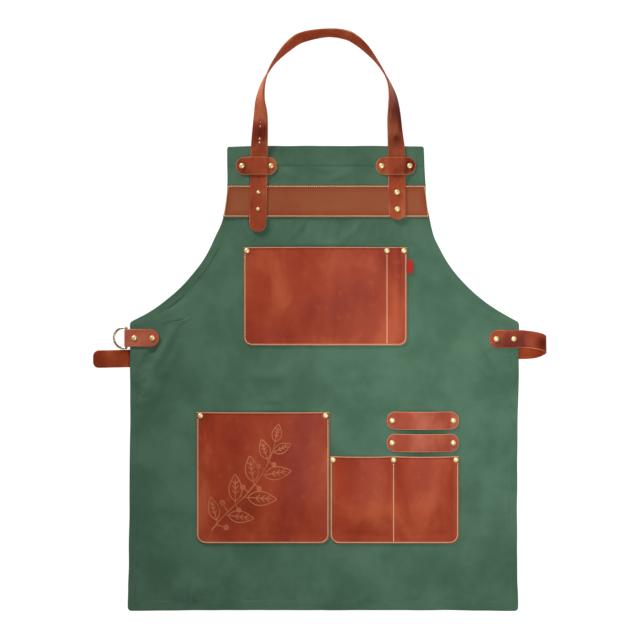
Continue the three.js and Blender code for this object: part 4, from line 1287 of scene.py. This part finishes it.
def make_grain():
    """Leather grain: small cells with fine creases between them, as a height."""
    group, given, out = new_group("leather_grain", {"Scale": "Float", "Creases": "Float"},
                                  {"Height": "Float"})
    at = on_piece(group)
    wander = node(group, "ShaderNodeTexNoise", Vector=at, Scale=300.0, Detail=3.0)
    moved = node(group, "ShaderNodeVectorMath", {"operation": "MULTIPLY_ADD"})
    for socket, value in zip(moved.inputs, (wander.outputs["Color"], (0.0012, 0.0012, 0.0012), at)):
        feed(group, socket, value)
    cells = node(group, "ShaderNodeTexVoronoi", {"feature": "DISTANCE_TO_EDGE"},
                 Vector=moved.outputs[0], Scale=given["Scale"])
    pores = span(group, cells.outputs["Distance"], 0.0, 0.16)
    creases = sums(group, "MULTIPLY", clouds(group, at, 120.0, 8.0, 0.75), given["Creases"])
    feed(group, out["Height"], sums(group, "ADD", pores, creases))
    return group


def make_weave():
    """Plain canvas weave: threads over and under each other, as a height and a thread mask."""
    group, given, out = new_group("canvas_weave", {"Threads": "Float"}, {"Height": "Float", "Slub": "Float"})
    at = on_piece(group)
    split = node(group, "ShaderNodeSeparateXYZ", Vector=at).outputs
    warp, weft = [sums(group, "SINE", sums(group, "MULTIPLY", split[axis], given["Threads"]))
                  for axis in "XY"]
    slub = clouds(group, at, 420.0, 4.0, 0.7)
    feed(group, out["Height"], sums(group, "ADD", sums(group, "MULTIPLY", warp, weft), slub))
    feed(group, out["Slub"], slub)
    return group


def make_edge_marks():
    """Masks from the distance to a piece's own edge: the rim (burnished on leather, painted shade on canvas)
    and the line along the seam, where painted shade goes.
    """
    masks = {"Rim": "Float", "Seam": "Float"}
    group, given, out = new_group("edge_marks", masks, masks)
    wobble = clouds(group, on_piece(group), 260.0, 3.0)
    millimetres = sums(group, "MULTIPLY", stored(group, "inset"), 1000.0)
    millimetres = sums(group, "ADD", millimetres, sums(group, "MULTIPLY", wobble, 0.8))
    from_seam = sums(group, "ABSOLUTE", sums(group, "SUBTRACT", millimetres, given["Seam"]))
    feed(group, out["Rim"], span(group, sums(group, "SUBTRACT", given["Rim"], millimetres), -0.3, 0.4))
    feed(group, out["Seam"], span(group, from_seam, 1.3, 0.7))
    return group


CLOUDY = make_cloudy()
GRAIN = make_grain()
WEAVE = make_weave()
EDGE_MARKS = make_edge_marks()


# Tones as screen values. Leather's face: dark, base, light and burnished rim. Its back and cut edge: dark,
# base and light. Cloth: painted shade, dark, base and light. Metal: base, worn and painted shade. Thread:
# base and light.
TONES = {
    "pocket_leather": [(140, 44, 20), (158, 57, 28), (180, 82, 48), (224, 152, 112)],
    "band_leather": [(148, 70, 42), (153, 82, 50), (158, 90, 58), (186, 116, 76)],
    "strap_grain": [(106, 32, 16), (158, 68, 38), (194, 108, 70), (210, 132, 90)],
    # The tab's face is lighter than the strap leather it is cut from: partly its own tone, partly painted
    # highlight
    "tab_leather": [(160, 58, 36), (184, 90, 62), (198, 116, 90), (206, 126, 90)],
    "loop_leather": [(134, 46, 28), (160, 66, 40), (182, 94, 64), (216, 142, 102)],
    "pocket_flesh": [(130, 62, 38), (165, 84, 52), (190, 110, 72)],
    "pocket_edge": [(150, 74, 48), (190, 112, 76), (214, 150, 108)],
    "strap_flesh": [(142, 54, 26), (160, 66, 34), (180, 84, 48)],
    "strap_edge": [(150, 66, 40), (186, 100, 66), (216, 136, 98)],
    "engraved": [(176, 98, 64), (196, 118, 82), (214, 140, 102)],
    "green_canvas": [(40, 72, 50), (58, 93, 70), (76, 110, 88), (87, 121, 99)],
    "red_cloth": [(160, 26, 22), (216, 40, 34), (240, 60, 52), (246, 100, 88)],
    "rivet_brass": [(252, 232, 172), (238, 206, 136)],
    "ring_metal": [(232, 222, 180), (204, 190, 142), (96, 84, 52)],
    "tan_thread": [(255, 218, 160), (255, 236, 196)],
    "green_thread": [(60, 98, 74), (104, 146, 120)],
}


def tones(name):
    return [srgb(*tone) for tone in TONES[name]]


def new_material(name, **settings):
    material = bpy.data.materials.new(name)
    material.use_nodes = True
    shader = material.node_tree.nodes["Principled BSDF"]
    for label, value in settings.items():
        shader.inputs[label.replace("_", " ")].default_value = value
    return material, material.node_tree, shader


def lay_on(tree, shader, color, height, strength, distance):
    """Gives a shader its colour and the bumps of its surface."""
    feed(tree, shader.inputs["Base Color"], color)
    bump = node(tree, "ShaderNodeBump", Height=height, Strength=strength, Distance=distance)
    feed(tree, shader.inputs["Normal"], bump.outputs["Normal"])


def leather(name, scale, rough, coat, shine, depth=0.35, seam=False, spots=0.3, painted_edge_shade=None, darkening=None,
            rim=0.9):
    """Grain-side leather: cloudy colour, lighter rubbed rim, painted shade in the crease along the seam, fine
    grain.
    """
    material, tree, shader = new_material(name, Coat_Weight=coat, Coat_Roughness=0.2,
                                          Specular_IOR_Level=shine)
    dark, base, light, rim_color = tones(name)
    cloudy = put_group(tree, CLOUDY, Dark=dark, Base=base, Light=light, Scale=scale, Spots=spots)
    marks = put_group(tree, EDGE_MARKS, Rim=rim, Seam=2.7)
    color = cloudy["Color"]
    # Painted shade: the leather is darkened within a few millimetres of its edge
    if painted_edge_shade:
        near_edge = span(tree, stored(tree, "inset"), 0.016, 0.002, 0.0, 0.5)
        color = blend_colors(tree, near_edge, color, srgb(*painted_edge_shade))
    # Painted darker where the strap's darkening value is high: painted shade at the waist strap's turn
    if darkening:
        uneven = span(tree, cloudy["Rub"], 0.8, 0.1, 0.45, 1.0)
        color = blend_colors(tree, sums(tree, "MULTIPLY", stored(tree, "darkening"), uneven), color, srgb(*darkening))
    # Painted shade: a dark line in the crease along the stitches
    if seam:
        painted_shade_tone = [part * 0.6 for part in dark[:3]] + [1]
        color = blend_colors(tree, sums(tree, "MULTIPLY", marks["Seam"], 0.7), color, painted_shade_tone)
    color = blend_colors(tree, sums(tree, "MULTIPLY", marks["Rim"], 0.85), color, rim_color)
    feed(tree, shader.inputs["Roughness"], span(tree, cloudy["Rub"], 0.0, 1.2, rough, rough + 0.14))
    surface = put_group(tree, GRAIN, Scale=900.0, Creases=0.6)
    lay_on(tree, shader, color, surface["Height"], depth, 0.0003)
    return material


def flesh_side(name):
    """The matte back of leather, with short fibres."""
    material, tree, shader = new_material(name, Roughness=0.85, Specular_IOR_Level=0.08)
    dark, base, light = tones(name)
    cloudy = put_group(tree, CLOUDY, Dark=dark, Base=base, Light=light, Scale=30.0, Spots=0.4)
    surface = put_group(tree, GRAIN, Scale=1600.0, Creases=1.4)
    lay_on(tree, shader, cloudy["Color"], surface["Height"], 0.5, 0.0003)
    return material


def canvas_cloth(name):
    """Plain woven cotton, a little washed out, with painted shade at its rim and in the groove along the
    hem's seam.
    """
    material, tree, shader = new_material(name, Roughness=0.92, Specular_IOR_Level=0.2, Sheen_Weight=0.12,
                                          Sheen_Roughness=0.5)
    painted_shade_tone, dark, base, light = tones(name)
    weave = put_group(tree, WEAVE, Threads=math.tau / (1.5 * MM))
    wash = clouds(tree, on_piece(tree), 11.0, 6.0, 0.6)
    color = blend_colors(tree, span(tree, wash, 0.35, 0.65), dark, light)
    color = blend_colors(tree, 0.5, base, color)
    color = blend_colors(tree, span(tree, weave["Slub"], 0.5, 0.75, 0.0, 0.35), color, light)
    marks = put_group(tree, EDGE_MARKS, Rim=1.6)
    seam = span(tree, stored(tree, "seam"), 0.0016, 0.0004)
    # Painted shade: darker at the canvas's rim and in the groove along each hem's seam
    for mask in (seam, marks["Rim"]):
        color = blend_colors(tree, sums(tree, "MULTIPLY", mask, 0.5), color, painted_shade_tone)
    lay_on(tree, shader, color, weave["Height"], 0.3, 0.0004)
    return material


def metal(name, rough, metallic=1.0):
    """Polished metal, a little worn, and, if it has a third tone, painted darker on the sides of a round
    wire: painted shade.
    """
    material, tree, shader = new_material(name, Metallic=metallic)
    base, worn, *painted_side_shade = tones(name)
    cloud = clouds(tree, on_piece(tree), 260.0, 5.0, 0.65)
    color = blend_colors(tree, span(tree, cloud, 0.45, 0.7), base, worn)
    # Painted shade: the wire is darker on its sides, where it faces neither up nor down
    if painted_side_shade:
        color = blend_colors(tree, span(tree, stored(tree, "vertical_facing"), 0.35, 0.85), painted_side_shade[0], color)
    feed(tree, shader.inputs["Roughness"], span(tree, cloud, 0.3, 0.7, rough, rough + 0.16))
    lay_on(tree, shader, color, cloud, 0.08, 0.0002)
    return material


def thread(name):
    material, tree, shader = new_material(name, Roughness=0.6, Specular_IOR_Level=0.35)
    base, light = tones(name)
    strands = clouds(tree, on_piece(tree), 1400.0, 3.0)
    color = blend_colors(tree, span(tree, strands, 0.4, 0.62), base, light)
    lay_on(tree, shader, color, strands, 0.4, 0.0002)
    return material


def make_finishes():
    """Materials by what they are for. Leather has three: its face, its back and its cut edge."""
    pocket = leather("pocket_leather", 13.0, 0.52, 0.04, 0.2, seam=True, spots=0.5)
    # The band gets painted shade near its edge
    band = leather("band_leather", 7.0, 0.66, 0.0, 0.15, depth=0.2, seam=True, spots=0.1,
                   painted_edge_shade=(140, 58, 34))
    strap = leather("strap_grain", 15.0, 0.48, 0.04, 0.12, depth=0.3, darkening=(98, 24, 8), rim=1.3)
    # Partly painted highlight: the tab's face is lighter than the strap leather
    tab = leather("tab_leather", 22.0, 0.44, 0.08, 0.25, depth=0.3)
    loop = leather("loop_leather", 16.0, 0.46, 0.06, 0.25, rim=1.4)
    pocket_inside = [flesh_side("pocket_flesh"), flesh_side("pocket_edge")]
    strap_inside = [flesh_side("strap_flesh"), flesh_side("strap_edge")]
    return {
        "pocket": [pocket, *pocket_inside], "band": [band, *pocket_inside], "loop": [loop, *pocket_inside],
        "strap": [strap, *strap_inside], "tab": [tab, *strap_inside], "engraving": flesh_side("engraved"),
        "canvas": canvas_cloth("green_canvas"), "label": canvas_cloth("red_cloth"),
        "rivet": metal("rivet_brass", 0.32, metallic=0.5), "ring": metal("ring_metal", 0.2),
        "seam": thread("tan_thread"), "hem": thread("green_thread"),
    }


# Camera, floor and light

CAMERA_AT = (0.00085, 0.00154, 2.5)
LENS = 82.72
FLOOR_SIZE = 60
FLOOR_GLOW = 0.97
BACKDROP_RADIUS = 28


def build_stage():
    scene = bpy.context.scene
    camera = bpy.data.objects.new("camera", bpy.data.cameras.new("camera"))
    scene.collection.objects.link(camera)
    camera.location = CAMERA_AT
    camera.data.lens = LENS
    camera.data.sensor_width = 36
    camera.data.clip_end = 100
    scene.camera = camera
    material, _, shader = new_material("floor_white", Roughness=0.9, Specular_IOR_Level=0.1)
    for label, value in (("Base Color", (0.2, 0.2, 0.2, 1)), ("Emission Color", (1, 1, 1, 1)),
                         ("Emission Strength", FLOOR_GLOW)):
        shader.inputs[label].default_value = value
    select_none()
    bpy.ops.mesh.primitive_plane_add(size=FLOOR_SIZE, location=(0, 0, -0.2 * MM))
    stage_piece("floor", material)
    select_none()
    bpy.ops.mesh.primitive_cylinder_add(vertices=96, radius=BACKDROP_RADIUS, depth=12,
                                        end_fill_type="NOTHING")
    stage_piece("backdrop", material)
    world = bpy.data.worlds.new("studio")
    world.use_nodes = True
    background = world.node_tree.nodes["Background"].inputs
    background["Color"].default_value = (1, 1, 1, 1)
    background["Strength"].default_value = 0.1
    scene.world = world
    scene.view_settings.view_transform = "Standard"
    area_light("top", (0.22, -0.13, 0.6), (0.22, -0.13, 0), (0.4, 0.62), 3.4)
    area_light("far", (-1.3, 2.1, 1), (0, 0, 0), (0.5, 0.5), 48)


def stage_piece(name, material):
    piece = bpy.context.object
    piece.name = name
    piece.data.materials.append(material)


def area_light(name, at, toward, size, power):
    """A rectangular soft light."""
    data = bpy.data.lights.new(name, "AREA")
    data.shape = "RECTANGLE"
    data.size, data.size_y = size
    data.energy = power
    light = bpy.data.objects.new(name, data)
    bpy.context.scene.collection.objects.link(light)
    light.location = at
    light.visible_camera = False
    light.rotation_euler = (Vector(toward) - Vector(at)).to_track_quat("-Z", "Y").to_euler()


def build_leatherwork(finish):
    for name in POCKETS:
        build_pocket(name, finish["pocket"])
    build_band(finish["band"])
    build_keeper("keeper_left", "left", -39 * MM, 30.5 * MM, finish["strap"])
    build_keeper("keeper_right", "right", -35 * MM, 32.5 * MM, finish["strap"])
    build_loop("tool_loop_upper", UPPER_LOOP_LINE, finish["loop"])
    build_loop("tool_loop_lower", LOWER_LOOP_LINE, finish["loop"])
    route = neck_stations()
    neck = build_strap("neck_strap_leather", route, NECK_STRAP, NECK_LEATHER, finish["strap"])
    punch_holes(neck, route)
    finish_piece(neck, "strap_leather", "neck_strap")
    waist = build_strap("waist_strap_leather", waist_stations(), WAIST_STRAP, WAIST_LEATHER, finish["strap"])
    finish_piece(waist, "strap_leather", "waist_strap")
    fold = build_strap("ring_tab_leather", tab_stations(), TAB_WIDTH, TAB_LEATHER, finish["tab"])
    finish_piece(fold, "pocket_leather", "ring_tab")


def build_seams(material):
    stitch = stitch_model(LEATHER_STITCH)
    for name, pocket in POCKETS.items():
        box = pocket["box"]
        paths = [seam_path(box, pocket["corner"])]
        for divider in pocket["edges"][1:-1]:
            paths.append([(divider, box[3] - 12 * MM), (divider, box[2] + 4 * MM)])
        sew(name + "_seam", paths, lambda x, y, n=name: pocket_top(n, x, y) + 0.15 * MM, stitch, material,
            "pocket_leather", slant=24)
    build_band_seam(stitch, material)


def main():
    build_stage()
    finish = make_finishes()
    build_canvas(finish["canvas"])
    build_leatherwork(finish)
    build_rivets(finish["rivet"])
    build_ring(finish["ring"])
    build_seams(finish["seam"])
    build_hems(finish["hem"])
    build_label(finish["label"])
    build_engraving(finish["engraving"])


def build_band_seam(stitch, material):
    inset = 1.9 * MM
    low, high = BAND_BOTTOM + inset, BAND_TOP - inset
    half_low, half_high = half_width(low) - inset, half_width(high) - inset
    around = [(sway(high) - half_high, high), (sway(low) - half_low, low), (sway(low) + half_low, low),
              (sway(high) + half_high, high), (sway(high) - half_high, high)]
    spans = [list(pair) for pair in zip(around, around[1:])]
    sew("band_seam", spans, lambda x, y: band_under(x, y) + BAND_LEATHER, stitch, material,
        "band_leather", slant=20)


def build_hems(material):
    paths = []
    for side in (-1, 1):
        heights = [mix(2 * MM, APRON_LENGTH - 2 * MM, k / 240) for k in range(241)]
        paths.append([(side * (half_width(y) - SIDE_HEM * hem_stretch(y)), y) for y in heights])
    for width, y in ((APRON_WIDTH, BOTTOM_HEM), (BIB_WIDTH, APRON_LENGTH - TOP_HEM)):
        inner = width / 2 - 2 * MM
        paths.append([(mix(-inner, inner, k / 60), y) for k in range(61)])
    sew("hem_stitches", paths, canvas_top, stitch_model(HEM_STITCH), material, "canvas", shift=laid)


def build_label(material):
    low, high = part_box("pocket_label")
    select_none()
    bpy.ops.mesh.primitive_cube_add(size=1, location=(low + high) / 2)
    label = bpy.context.object
    label.name = "label_cloth"
    bpy.ops.object.mode_set(mode="EDIT")
    bpy.ops.transform.resize(value=tuple(high - low))
    bpy.ops.mesh.subdivide(number_cuts=6)
    bpy.ops.object.mode_set(mode="OBJECT")
    label.data.transform(label.matrix_world)
    label.matrix_world = Matrix.Identity(4)
    for vertex in label.data.vertices:
        share = (vertex.co.x - low.x) / (high.x - low.x)
        vertex.co.z += 0.5 * MM * share ** 2
    label.data.materials.append(material)
    finish_piece(label, "label_cloth", "pocket_label")


main()
